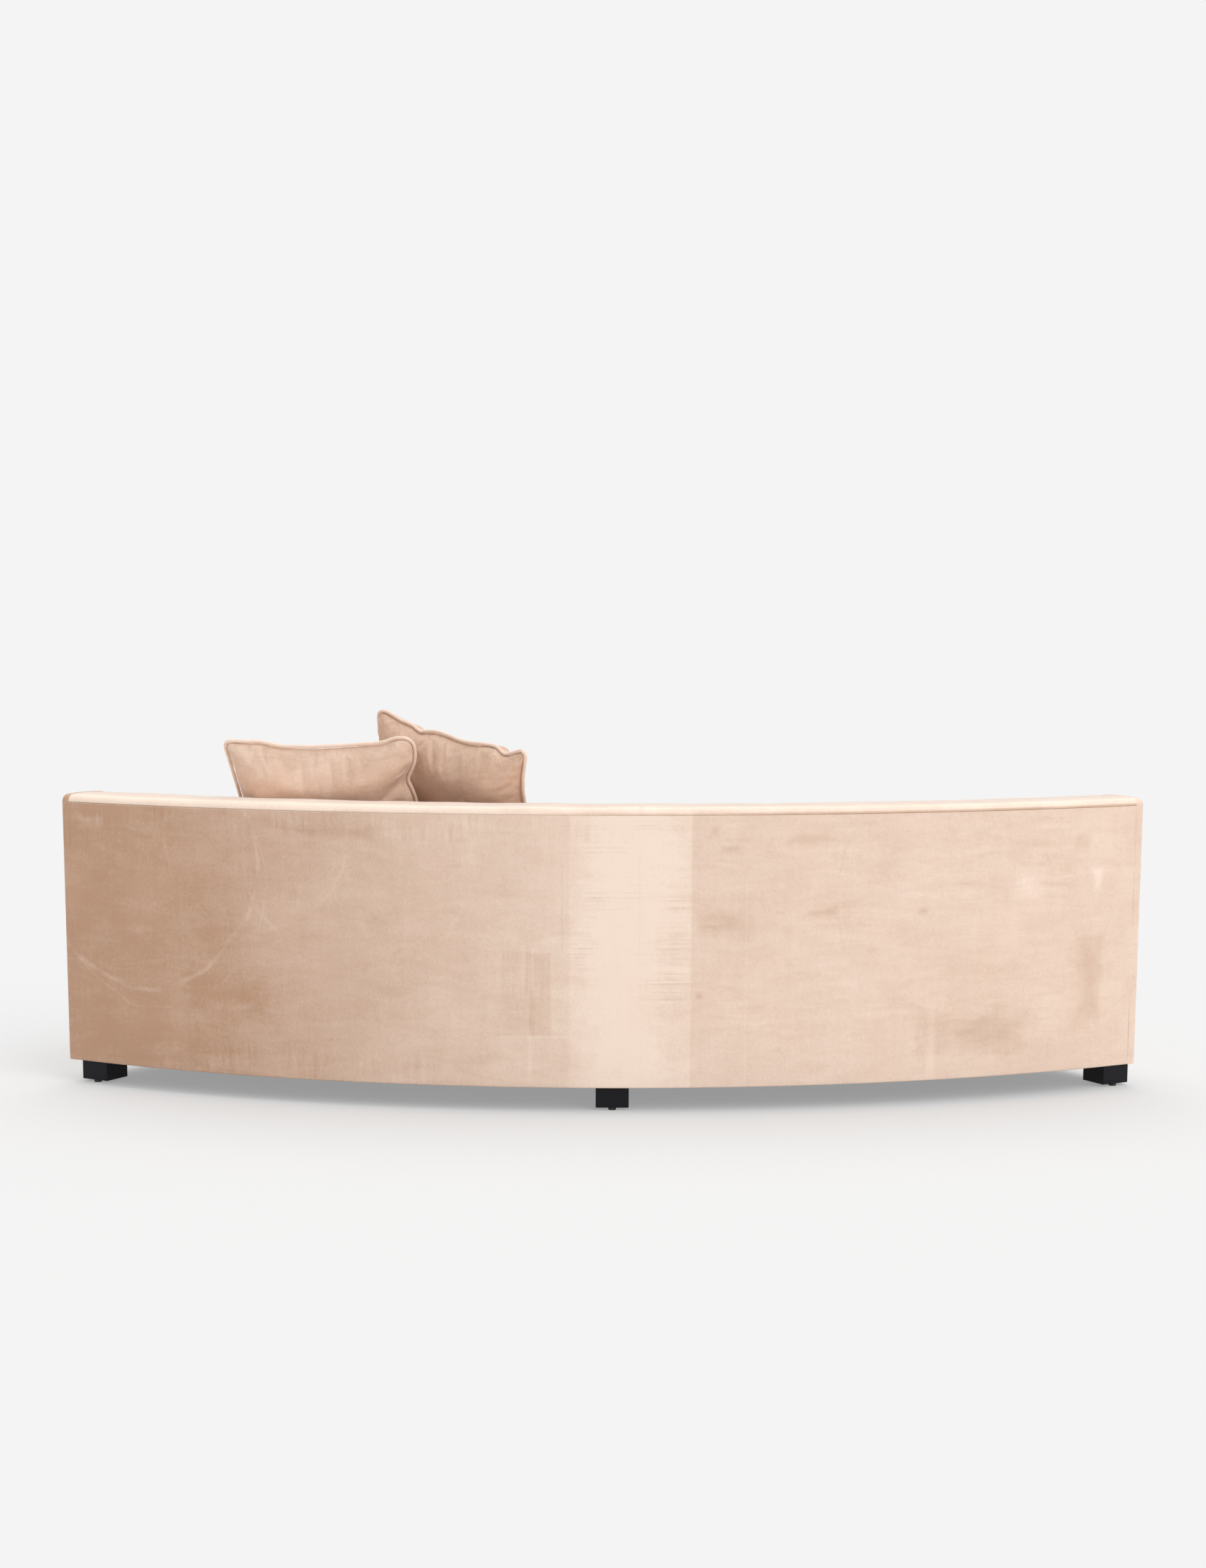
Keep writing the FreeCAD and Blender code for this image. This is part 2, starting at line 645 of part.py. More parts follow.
def covers():
    outside = box_section(f"({R_OUT} - Dims.cover)", R_OUT, "Dims.under_height", "Dims.seam_height")
    arc_pair("outside_back_cover", outside)
    top_band()
    inside = [
        (R_SEAT_BACK, "Dims.deck_height"),
        (f"({R_SEAT_BACK} + Dims.cover)", "Dims.deck_height"),
        (f"({R_IN_TOP} + Dims.cover)", "Dims.seam_height"),
        (R_IN_TOP, "Dims.seam_height"),
    ]
    arc_pair("inside_back_cover", inside)
    edge = "Dims.front_round"
    ring(
        "front_band_cover",
        [
            (R_FRONT, "Dims.under_height"),
            (f"({R_FRONT} + Dims.cover)", "Dims.under_height"),
            (f"({R_FRONT} + Dims.cover)", f"(Dims.deck_height - {edge})", f"-({edge} - Dims.cover)"),
            (f"({R_FRONT} + {edge})", "(Dims.deck_height - Dims.cover)"),
            (f"({R_FRONT} + {edge})", "Dims.deck_height", edge),
            (R_FRONT, f"(Dims.deck_height - {edge})"),
        ],
        f"-{CAP_START}",
        CAP_START,
    )
    ring(
        "deck_cover",
        box_section(
            f"({R_FRONT} + {edge})", f"({R_SEAT_BACK} + Dims.cover)", "(Dims.deck_height - Dims.cover)",
            "Dims.deck_height",
        ),
        f"-{CAP_START}",
        CAP_START,
    )
    dust_sweep = end_sweep("Dims.dust_end", R_FRONT)
    low = "(Dims.under_height + Dims.dust_lift)"
    high = f"({low} + Dims.dust_thick)"
    dust_section = box_section(f"({R_FRONT} + Dims.dust_inset)", f"({R_OUT} - Dims.dust_inset)", low, high)
    dust = ring("dust_cover", dust_section, f"-{dust_sweep}", dust_sweep)
    drills = [
        cylinder(f"dust_hole_{name}", "Dims.bolt_radius + Dims.nut_wall", f"{low} - 1", f"{high} + 1", turn, reach)
        for name, (reach, turn) in FEET.items()
    ]
    cut("dust_cover", dust, joined("Part::MultiFuse", "dust_drills", drills, keep=False))


def end_block(label, inset, start, end, grow="0"):
    """The sofa's full section over a short sweep at one end, its end edges rounded, as back block plus seat block."""
    back = [
        (f"({R_SEAT_BACK} + {inset})", f"(Dims.under_height - {grow})"),
        (f"({R_OUT} - {inset})", f"(Dims.under_height - {grow})"),
        (f"({R_OUT} - {inset})", "Dims.seam_height", f"(Dims.crown - {inset})"),
        (f"({R_OUT} - Dims.crown)", f"({Z_CROWN} - {inset})", "Dims.crown_radius"),
        (f"({R_IN_TOP} + Dims.crown)", f"({Z_CROWN} - {inset})", f"(Dims.crown - {inset})"),
        (f"({R_IN_TOP} + {inset})", "Dims.seam_height"),
        (f"({R_SEAT_BACK} + {inset})", "Dims.deck_height"),
    ]
    edge = "Dims.front_round"
    r_overlap = f"({R_OUT} - Dims.end_overlap)"
    seat = [
        (f"({R_FRONT} + {inset})", f"(Dims.under_height - {grow})"),
        (r_overlap, f"(Dims.under_height - {grow})"),
        (r_overlap, f"(Dims.deck_height - {inset})"),
        (f"({R_FRONT} + {edge})", f"(Dims.deck_height - {inset})", f"({edge} - {inset})"),
        (f"({R_FRONT} + {inset})", f"(Dims.deck_height - {edge})"),
    ]
    blocks = []
    for name, points in (("back", back), ("seat", seat)):
        body = ring(f"{label}_{name}", points, start, end, keep=False)
        doc.recompute()
        feature = body.Tip
        side = 1 if number(end) > 0 else -1
        reach = abs(number(f"(({end}) - ({start})) / 2"))
        rim = end_edges(feature.Shape, side, reach, number("Dims.under_height") + 1)
        ease = body.newObject("PartDesign::Fillet", f"{label}_{name}_ease")
        ease.Base = (feature, rim)
        ease.setExpression("Radius", f"Dims.end_round - {inset}")
        blocks.append(body)
    return joined("Part::MultiFuse", label, blocks, keep=False)


def end_edges(shape, side, reach, floor):
    """Names of the edges in the end plane of a turned block, without the lowest one."""
    names = []
    for i, edge in enumerate(shape.Edges, start=1):
        middle = edge.valueAt((edge.FirstParameter + edge.LastParameter) / 2)
        ends = [v.Point for v in edge.Vertexes] + [middle]
        angles = [math.degrees(math.atan2(p.x, p.y)) * side for p in ends]
        if all(abs(a - reach) < 0.001 for a in angles) and max(p.z for p in ends) > floor:
            names.append(f"Edge{i}")
    return names


def end_covers():
    """Boxed ends: each a rounded dish whose rim meets the other covers along a seam."""
    seam = f"({CAP_START} + Dims.seam_slit)"
    inside = end_sweep("Dims.cover", R_OUT)
    sides = {
        "left": (seam, "Dims.half_sweep", CAP_START, inside),
        "right": ("-Dims.half_sweep", f"-{seam}", f"-{inside}", f"-{CAP_START}"),
    }
    for name, (start, end, low, high) in sides.items():
        outer = end_block(f"end_shell_{name}", "0", start, end)
        inner = end_block(f"end_hollow_{name}", "Dims.cover", low, high, grow="5")
        cut(f"end_cover_{name}", outer, inner)


# Seat cushions
def sector_wire(r_low, r_high, low, high, inset, corner, z):
    """Ring-sector outline at a height, drawn in by an inset, its four corners rounded. Angles are from +Y to +X."""
    inner, outer = r_low + inset, r_high - inset

    def bend(angle, way, radius, step, from_side):
        """Corner arc between a side and a rim: its ends and the arc, in the order that they are drawn."""
        along = math.sqrt((radius + step) ** 2 - (inset + corner) ** 2)
        ray = V(math.sin(math.radians(angle)), math.cos(math.radians(angle)), 0)
        across = V(-ray.y, ray.x, 0) * way
        centre = ray * along + across * (inset + corner)
        side = ray * along + across * inset
        rim = V(centre).normalize() * radius
        outwards = ((side + rim) * 0.5 - centre).normalize() * corner
        first, last = (side, rim) if from_side else (rim, side)
        return first, last, Part.Arc(first, centre + outwards, last)

    def rim_arc(first, last, radius):
        return Part.Arc(first, (first + last).normalize() * radius, last)

    high_out = bend(high, 1, outer, -corner, False)
    high_in = bend(high, 1, inner, corner, True)
    low_in = bend(low, -1, inner, corner, False)
    low_out = bend(low, -1, outer, -corner, True)
    edges = [
        rim_arc(low_out[1], high_out[0], outer),
        high_out[2],
        Part.LineSegment(high_out[1], high_in[0]),
        high_in[2],
        rim_arc(high_in[1], low_in[0], inner),
        low_in[2],
        Part.LineSegment(low_in[1], low_out[0]),
        low_out[2],
    ]
    wire = Part.Wire([edge.toShape() for edge in edges])
    wire.translate(V(0, 0, z))
    return wire


# Each level of a seat cushion: its height's share, then how far its outline is drawn in
CUSHION_LEVELS = (
    (0.0, 16.0),
    (0.03, 5.0),
    (0.08, 2.0),
    (0.42, 0.0),
    (0.78, 2.0),
    (0.85, 7.0),
    (0.92, 34.0),
    (0.97, 90.0),
    (1.0, 190.0),
)


def cushion_form(low, high, inset):
    """Boxed cushion: sides that swell between their seams and a crowned top, an inset inside the cover's face."""
    bottom = number("Dims.deck_height + Dims.play")
    top = number("Dims.cushion_height")
    r_low = number("Dims.front_radius - Dims.cushion_front")
    r_high = number(f"{R_SEAT_BACK} - Dims.cushion_gap")
    corner = number("Dims.cushion_round")
    end_gap = number("Dims.cushion_end_gap")
    wires = []
    for share, drawn_in in CUSHION_LEVELS:
        z = bottom + inset + (top - 2 * inset) * share
        wires.append(sector_wire(r_low, r_high, low, high, drawn_in + inset + end_gap, corner, z))
    return Part.makeLoft(wires, True, True)


def seat_cushions():
    half = number("Dims.half_sweep")
    for name, low, high in (("left", 0.0, half), ("right", -half, 0.0)):
        cover = number("Dims.cover")
        outer = cushion_form(low, high, 0)
        hollow = cushion_form(low, high, cover)
        core = cushion_form(low, high, cover + number("Dims.play"))
        for label, shape in (("cover", skin(outer, hollow)), ("foam", core)):
            item = solid(f"seat_cushion_{name}_{label}", shape)
            item.Placement = FreeCAD.Placement(V(0, number(ORIGIN_SHIFT), 0), FreeCAD.Rotation())
        r_zip = f"({R_SEAT_BACK} - Dims.cushion_gap)"
        section = box_section(r_zip, f"({r_zip} + Dims.zip_thick)", "Dims.zip_low", "Dims.zip_low + Dims.zip_width")
        ring(f"seat_cushion_{name}_zip", section, f"{low} + Dims.zip_end", f"{high} - Dims.zip_end")


# Throw pillows
def pillow_wire(half, middle, corner, z):
    """Four-sided outline: sides that are arcs through a middle distance, joined by corner arcs they touch."""
    centre = half - corner
    rise = middle - centre
    side = (centre**2 + rise**2 - corner**2) / (2 * (corner - rise))
    # A positive side radius draws the side in; its centre lies outside the pillow.
    far = middle + side
    edges = []
    for quarter in range(4):
        turn = FreeCAD.Rotation(V(0, 0, 1), 90 * quarter)
        hub = V(far, 0, 0)
        low_corner, high_corner = V(centre, -centre, 0), V(centre, centre, 0)
        next_hub = V(0, far, 0)
        first = low_corner + (hub - low_corner).normalize() * corner * math.copysign(1, side)
        last = high_corner + (hub - high_corner).normalize() * corner * math.copysign(1, side)
        after = high_corner + (next_hub - high_corner).normalize() * corner * math.copysign(1, side)
        tip = high_corner + V(1, 1, 0).normalize() * corner
        side_arc = Part.Arc(turn.multVec(first), turn.multVec(V(middle, 0, 0)), turn.multVec(last))
        corner_arc = Part.Arc(turn.multVec(last), turn.multVec(tip), turn.multVec(after))
        edges += [side_arc.toShape(), corner_arc.toShape()]
    wire = Part.Wire(edges)
    wire.translate(V(0, 0, z))
    return wire


# Each level of a pillow's dome: its height's share, then how far its outline is drawn in, dips and rounds
PILLOW_DIP = 12.0
PILLOW_CORNER = 20.0
PIPING_GAP = 0.1
PILLOW_LEVELS = (
    (0.0, 0.0, PILLOW_DIP, PILLOW_CORNER),
    (0.30, 9.0, 13.0, 28.0),
    (0.58, 31.0, 13.0, 42.0),
    (0.80, 66.0, 10.0, 54.0),
    (0.94, 114.0, 5.0, 50.0),
    (1.0, 166.0, 2.0, 30.0),
)


def pillow_form(inset):
    """Plump pillow: two domes that meet in a sharp seam all round, an inset inside the cover's face."""
    half = number("Dims.pillow_side / 2 - 2 * Dims.piping_radius") - inset
    thick = number("Dims.pillow_thick / 2") - inset
    domes = []
    for way in (1, -1):
        wires = []
        for share, drawn_in, dip, corner in PILLOW_LEVELS:
            reach = half - drawn_in
            wires.append(pillow_wire(reach, reach - dip, corner, way * thick * share))
        domes.append(Part.makeLoft(wires, True, False))
    return domes[0].fuse(domes[1]).removeSplitter()


def piping():
    radius = number("Dims.piping_radius")
    half = number("Dims.pillow_side / 2 - Dims.piping_radius") + PIPING_GAP
    path = pillow_wire(half, half - PILLOW_DIP, PILLOW_CORNER + radius + PIPING_GAP, 0)
    start = path.Edges[0].Vertexes[0].Point
    along = path.Edges[0].tangentAt(path.Edges[0].FirstParameter)
    circle = Part.Wire([Part.Circle(start, along, radius).toShape()])
    return path.makePipeShell([circle], True, True)


# Where the pillows lean: centre from the sofa's middle, turn from the sofa's width, lean back, roll in their own plane
PILLOWS = {
    "left": (V(706, 190, 690), 5.7, 26.0, -1.9),
    "right": (V(364, 182, 723.5), 40.7, 23.4, 11.7),
}


def pillow_rotation(turn, lean, roll):
    """Rotation that stands a pillow, drawn flat, on its side: its plane's normal looks back over the seat's back."""
    turn, lean, roll = (math.radians(a) for a in (turn, lean, roll))
    wide = V(math.cos(turn), -math.sin(turn), 0)
    out = V(math.sin(turn), math.cos(turn), 0)
    up = V(0, 0, 1) * math.cos(lean) + out * math.sin(lean)
    back = out * math.cos(lean) - V(0, 0, 1) * math.sin(lean)
    wide_rolled = wide * math.cos(roll) + up * math.sin(roll)
    up_rolled = up * math.cos(roll) - wide * math.sin(roll)
    return FreeCAD.Rotation(wide_rolled, up_rolled, back * -1, "XYZ")


def pillows():
    outer = pillow_form(0)
    hollow = pillow_form(number("Dims.cover"))
    core = pillow_form(number("Dims.cover + Dims.play"))
    welt = piping()
    for name, (centre, turn, lean, roll) in PILLOWS.items():
        stand = FreeCAD.Placement(centre, pillow_rotation(turn, lean, roll))
        for label, shape in (("cover", skin(outer, hollow)), ("insert", core), ("piping", welt)):
            item = solid(f"pillow_{name}_{label}", shape)
            item.Placement = stand


# Build and write
base_frame()
cross_rails()
back_posts()
back_boards()
end_boards()
back_webbing()
springs()
spring_clips()
padding()
covers()
end_covers()
for foot_name, (foot_reach, foot_turn) in FEET.items():
    foot(foot_name, foot_reach, foot_turn)
glides()
bolts()
seat_cushions()
pillows()
doc.recompute()

for item in doc.Objects:
    if {"Invalid", "Error"} & set(item.State):
        raise RuntimeError(f"{item.Label} failed: {item.State}")
for item in nodes:
    if item.Shape.isNull() or not item.Shape.isValid() or item.Shape.Volume <= 0:
        raise RuntimeError(f"{item.Label} has no valid shape")
labels = [item.Label for item in nodes]
if len(set(labels)) != len(labels) or len(labels) > 60:
    raise RuntimeError(f"{len(labels)} nodes, {len(set(labels))} labels")

os.makedirs("parts", exist_ok=True)
for item in nodes:
    item.Shape.exportStep(f"parts/{item.Label}.step")
    box = item.Shape.BoundBox
    print(
        f"{item.Label:28s} {item.Shape.Volume / 1000:10.1f} cm3  solids {len(item.Shape.Solids)}"
        f"  x {box.XMin:.0f}..{box.XMax:.0f}  y {box.YMin:.0f}..{box.YMax:.0f}  z {box.ZMin:.1f}..{box.ZMax:.1f}"
    )
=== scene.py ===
"""Curved velvet sofa with two loose seat cushions and two throw pillows, dressed around its fixed frame."""

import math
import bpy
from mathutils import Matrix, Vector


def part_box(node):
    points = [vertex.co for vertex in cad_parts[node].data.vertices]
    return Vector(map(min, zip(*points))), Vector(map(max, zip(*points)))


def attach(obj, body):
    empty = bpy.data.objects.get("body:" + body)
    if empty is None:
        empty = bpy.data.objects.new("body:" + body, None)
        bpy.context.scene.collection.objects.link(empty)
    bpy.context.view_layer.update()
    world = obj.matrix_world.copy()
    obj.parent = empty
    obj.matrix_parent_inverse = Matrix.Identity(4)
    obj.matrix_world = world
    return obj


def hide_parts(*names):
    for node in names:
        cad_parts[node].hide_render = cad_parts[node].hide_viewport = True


bl_info = {
    "name": "Curved sofa",
    "version": (1, 0, 0),
    "blender": (4, 5, 0),
    "location": "View3D > Sidebar > Sofa",
    "description": "Dresses a curved sofa's frame in velvet, with cushions, pillows, stitching and a plain stage",
    "category": "Object",
}

import bmesh
import bpy
import numpy as np
from mathutils import Matrix, Vector, noise

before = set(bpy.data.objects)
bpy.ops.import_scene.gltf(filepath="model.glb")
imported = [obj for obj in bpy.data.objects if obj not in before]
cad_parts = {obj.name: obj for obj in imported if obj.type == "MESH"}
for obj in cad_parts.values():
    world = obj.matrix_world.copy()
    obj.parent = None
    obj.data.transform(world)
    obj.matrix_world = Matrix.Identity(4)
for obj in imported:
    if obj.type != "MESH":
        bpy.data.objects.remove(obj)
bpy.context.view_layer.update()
FRAME_BODY = "sofa_frame"


# Sizes and colours that a user would change
def length(name, description, default):
    return bpy.props.FloatProperty(name=name, description=description, default=default, unit="LENGTH", precision=4)


def angle(name, description, degrees):
    return bpy.props.FloatProperty(
        name=name, description=description, default=math.radians(degrees), unit="ROTATION", precision=4
    )


def colour(name, description, default):
    return bpy.props.FloatVectorProperty(
        name=name, description=description, default=default, size=3, min=0, max=1, subtype="COLOR"
    )


class SofaSizes(bpy.types.PropertyGroup):
    """Main sizes of the covers, as the frame has them"""

    outer_radius: length("Back radius", "Radius of the outside of the back", 2.8)
    front_radius: length("Front radius", "Radius of the front of the seat", 1.9)
    half_sweep: angle("Half sweep", "Angle from the middle of the sofa to one end", 30.6)
    cap_start: angle("End cover start", "Angle at which the end covers begin", 30.0)
    join: angle("Join", "Angle of the join between the left and the right covers", -2.1)
    under: length("Under height", "Height of the lower edge of the covers", 0.062)
    deck: length("Deck height", "Height of the deck under the seat cushions", 0.288)
    seam: length("Seam height", "Height of the seam under the top band", 0.750)
    crown: length("Crown", "How far the top band rises over its seam", 0.020)
    top_depth: length("Back depth at the top", "Thickness of the back at the seam", 0.150)
    seat_depth: length("Back depth at the deck", "Thickness of the back at the deck", 0.210)
    end_round: length("End rounding", "Rounding of the edges of both ends", 0.014)
    front_round: length("Front rounding", "Rounding of the front edge of the deck", 0.018)
    padding: length("Padding", "Thickness of a cover with its wadding", 0.009)
    cushion_top: length("Cushion top", "Height of the top of a seat cushion", 0.446)
    piping: length("Piping radius", "Radius of the piping of the pillows", 0.0045)


class SofaColours(bpy.types.PropertyGroup):
    """Colours of the finishes, linear"""

    velvet_pale: colour("Velvet, nap towards the light", "Palest tone of the pile", (0.92, 0.75, 0.63))
    velvet_deep: colour("Velvet, nap away from the light", "Deepest tone of the pile", (0.53, 0.325, 0.215))
    velvet_rose: colour("Velvet, rosy tone", "Pinkish tone that shows in patches", (0.84, 0.58, 0.45))
    thread: colour("Thread", "Topstitching thread", (0.93, 0.80, 0.64))
    foot_black: colour("Foot", "Black lacquer of the feet", (0.0035, 0.003, 0.0055))
    backdrop: colour("Backdrop", "Plain pale floor and background", (0.9047, 0.9047, 0.9047))


def sizes():
    return bpy.context.scene.sofa_sizes


def tones():
    return bpy.context.scene.sofa_colours


# The sofa's curve turns about an upright axis in front of the seat, and angles count from +Y towards +X
AXIS_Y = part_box("outside_back_cover_left")[1].y - 2.8
SAME_ANGLE = SAME_HEIGHT = 1e-5


# Modelling helpers
def start(name, adder, **how):
    """Adds a primitive with nothing else selected, and names it."""
    if bpy.context.object and bpy.context.object.mode != "OBJECT":
        bpy.ops.object.mode_set(mode="OBJECT")
    bpy.ops.object.select_all(action="DESELECT")
    adder(**how)
    piece = bpy.context.object
    piece.name = name
    piece.data.name = name
    return piece


def only(piece):
    bpy.ops.object.select_all(action="DESELECT")
    piece.select_set(True)
    bpy.context.view_layer.objects.active = piece


def pick_faces(test):
    """In edit mode, selects the faces whose corners all pass the test."""
    bpy.ops.mesh.select_mode(type="VERT")
    bpy.ops.mesh.select_all(action="DESELECT")
    mesh = bmesh.from_edit_mesh(bpy.context.object.data)
    for vertex in mesh.verts:
        if test(vertex.co):
            vertex.select = True
    mesh.select_flush(True)
    bmesh.update_edit_mesh(bpy.context.object.data)
    bpy.ops.mesh.select_mode(type="FACE")


def drawn_section(name, points):
    """A flat face in the plane x = 0, its outline drawn from point to point in (radius, height)."""
    piece = start(name, bpy.ops.mesh.primitive_plane_add, size=0.01)
    bpy.ops.object.mode_set(mode="EDIT")
    bpy.ops.mesh.select_mode(type="VERT")
    bpy.ops.mesh.merge(type="CENTER")
    here = Vector((0, 0, 0))
    for index, (radius, height) in enumerate(points):
        there = Vector((0, AXIS_Y + radius, height))
        step = there - here
        if index == 0:
            bpy.ops.transform.translate(value=step)
        else:
            bpy.ops.mesh.extrude_vertices_move(TRANSFORM_OT_translate={"value": step})
        here = there
    bpy.ops.mesh.select_all(action="SELECT")
    bpy.ops.mesh.edge_face_add()
    return piece


def turned(name, points, low, high, steps):
    """A solid made by drawing a section and turning it about the sofa's axis from one angle to another.
    Angles are from +Y towards +X."""
    piece = drawn_section(name, points)
    bpy.ops.object.mode_set(mode="OBJECT")
    turn_mesh(piece, low)
    only(piece)
    bpy.ops.object.mode_set(mode="EDIT")
    bpy.ops.mesh.select_all(action="SELECT")
    bpy.ops.mesh.spin(steps=steps, angle=high - low, center=(0, AXIS_Y, 0), axis=(0, 0, 1))
    bpy.ops.mesh.select_all(action="SELECT")
    bpy.ops.mesh.normals_make_consistent(inside=False)
    bpy.ops.object.mode_set(mode="OBJECT")
    return piece


def turn_mesh(piece, turn):
    """Turns a mesh about the sofa's axis, towards +X."""
    axis = Matrix.Translation((0, AXIS_Y, 0))
    piece.data.transform(axis @ Matrix.Rotation(-turn, 4, "Z") @ axis.inverted())


def line(first, last, count):
    """Points from the first to just before the last."""
    return [
        (first[0] + (last[0] - first[0]) * i / count, first[1] + (last[1] - first[1]) * i / count)
        for i in range(count)
    ]


def bow(centre, radius, first, last, count):
    """Points of an arc in degrees, from the first to just before the last."""
    return [
        (
            centre[0] + radius * math.cos(math.radians(first + (last - first) * i / count)),
            centre[1] + radius * math.sin(math.radians(first + (last - first) * i / count)),
        )
        for i in range(count)
    ]


def places(piece):
    """Vertices as an array, and their angle, radius and height about the sofa's axis."""
    spots = np.empty(len(piece.data.vertices) * 3)
    piece.data.vertices.foreach_get("co", spots)
    spots = spots.reshape(-1, 3)
    turn = np.arctan2(spots[:, 0], spots[:, 1] - AXIS_Y)
    radius = np.hypot(spots[:, 0], spots[:, 1] - AXIS_Y)
    return spots, turn, radius


def put(piece, spots):
    piece.data.vertices.foreach_set("co", np.asarray(spots, dtype=np.float32).ravel())
    piece.data.update()


def drift(columns, scale, seed):
    """Smooth noise in about -1 to 1 at each place of two or three columns, a scale in metres per lump."""
    base = Vector((seed * 7.31, seed * 3.77, seed * 1.93))
    columns = [*columns, np.zeros(len(columns[0]))][:3]
    return np.array([noise.fractal(Vector(row) + base, 1.0, 2.0, 2) for row in np.column_stack(columns) / scale])


def push_out(piece, spots, turn, move):
    """Moves vertices away from the sofa's axis."""
    spots[:, 0] += np.sin(turn) * move
    spots[:, 1] += np.cos(turn) * move
    put(piece, spots)


def smooth_step(values, low, high):
    share = np.clip((values - low) / (high - low), 0, 1)
    return share * share * (3 - 2 * share)


def finish_modifiers(piece):
    only(piece)
    for modifier in list(piece.modifiers):
        bpy.ops.object.modifier_apply(modifier=modifier.name)


def smooth(piece, degrees=40):
    only(piece)
    bpy.ops.object.shade_smooth_by_angle(angle=math.radians(degrees))


def dress(piece, material, slot, body, *nodes, fill=None):
    """Gives a piece its material and the body that it rides on, and hides the nodes that it stands for. Its slot
    is not used.
    """
    piece.data.materials.clear()
    piece.data.materials.append(material)
    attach(piece, body)
    if nodes:
        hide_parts(*nodes)
    return piece


def inflate(piece, held, pressure, grow, cap):
    """Fills a sewn case by cloth simulation. Its held vertices stay, and no point moves further than the cap."""
    before = places(piece)[0].copy()
    seam = piece.vertex_groups.new(name="seam")
    seam.add([int(index) for index in held], 1.0, "REPLACE")
    cloth = piece.modifiers.new("Filling", "CLOTH")
    values = cloth.settings
    values.quality = 6
    values.mass = 0.25
    values.tension_stiffness = values.compression_stiffness = 12
    values.shear_stiffness = 4
    values.bending_stiffness = 0.25
    values.vertex_group_mass = "seam"
    values.use_pressure = True
    values.uniform_pressure_force = pressure
    values.shrink_min = -grow
    values.effector_weights.gravity = 0
    cloth.point_cache.frame_start = 1
    cloth.point_cache.frame_end = 20
    only(piece)
    for moment in range(1, 21):
        bpy.context.scene.frame_set(moment)
    bpy.ops.object.modifier_apply(modifier=cloth.name)
    after = places(piece)[0]
    bpy.context.scene.frame_set(1)
    piece.vertex_groups.clear()
    move = after - before
    size = np.maximum(np.linalg.norm(move, axis=1), 1e-9)
    move *= (np.minimum(size, cap) / size)[:, None]
    put(piece, before + move)


def tube(name, path, radius):
    """A round, closed mesh cord along a list of points."""
    curve = bpy.data.curves.new(name, "CURVE")
    curve.dimensions = "3D"
    spline = curve.splines.new("POLY")
    spline.points.add(len(path) - 1)
    for point, place in zip(spline.points, path):
        point.co = (*place, 1)
    spline.use_cyclic_u = True
    curve.bevel_depth = radius
    curve.bevel_resolution = 3
    item = bpy.data.objects.new(name, curve)
    bpy.context.scene.collection.objects.link(item)
    only(item)
    bpy.ops.object.convert(target="MESH")
    item = bpy.context.object
    smooth(item, 80)
    return item


def copies(name, base, stands):
    """One mesh that holds a copy of a small base mesh at each stand."""
    spots = np.array([vertex.co for vertex in base.data.vertices])
    faces = [list(polygon.vertices) for polygon in base.data.polygons]
    all_spots, all_faces = [], []
    for index, stand in enumerate(stands):
        matrix = np.array(stand)
        all_spots.append(spots @ matrix[:3, :3].T + matrix[:3, 3])
        all_faces += [[v + index * len(spots) for v in face] for face in faces]
    mesh = bpy.data.meshes.new(name)
    mesh.from_pydata(np.concatenate(all_spots).tolist(), [], all_faces)
    piece = bpy.data.objects.new(name, mesh)
    bpy.context.scene.collection.objects.link(piece)
    bpy.data.objects.remove(base)
    smooth(piece, 60)
    return piece


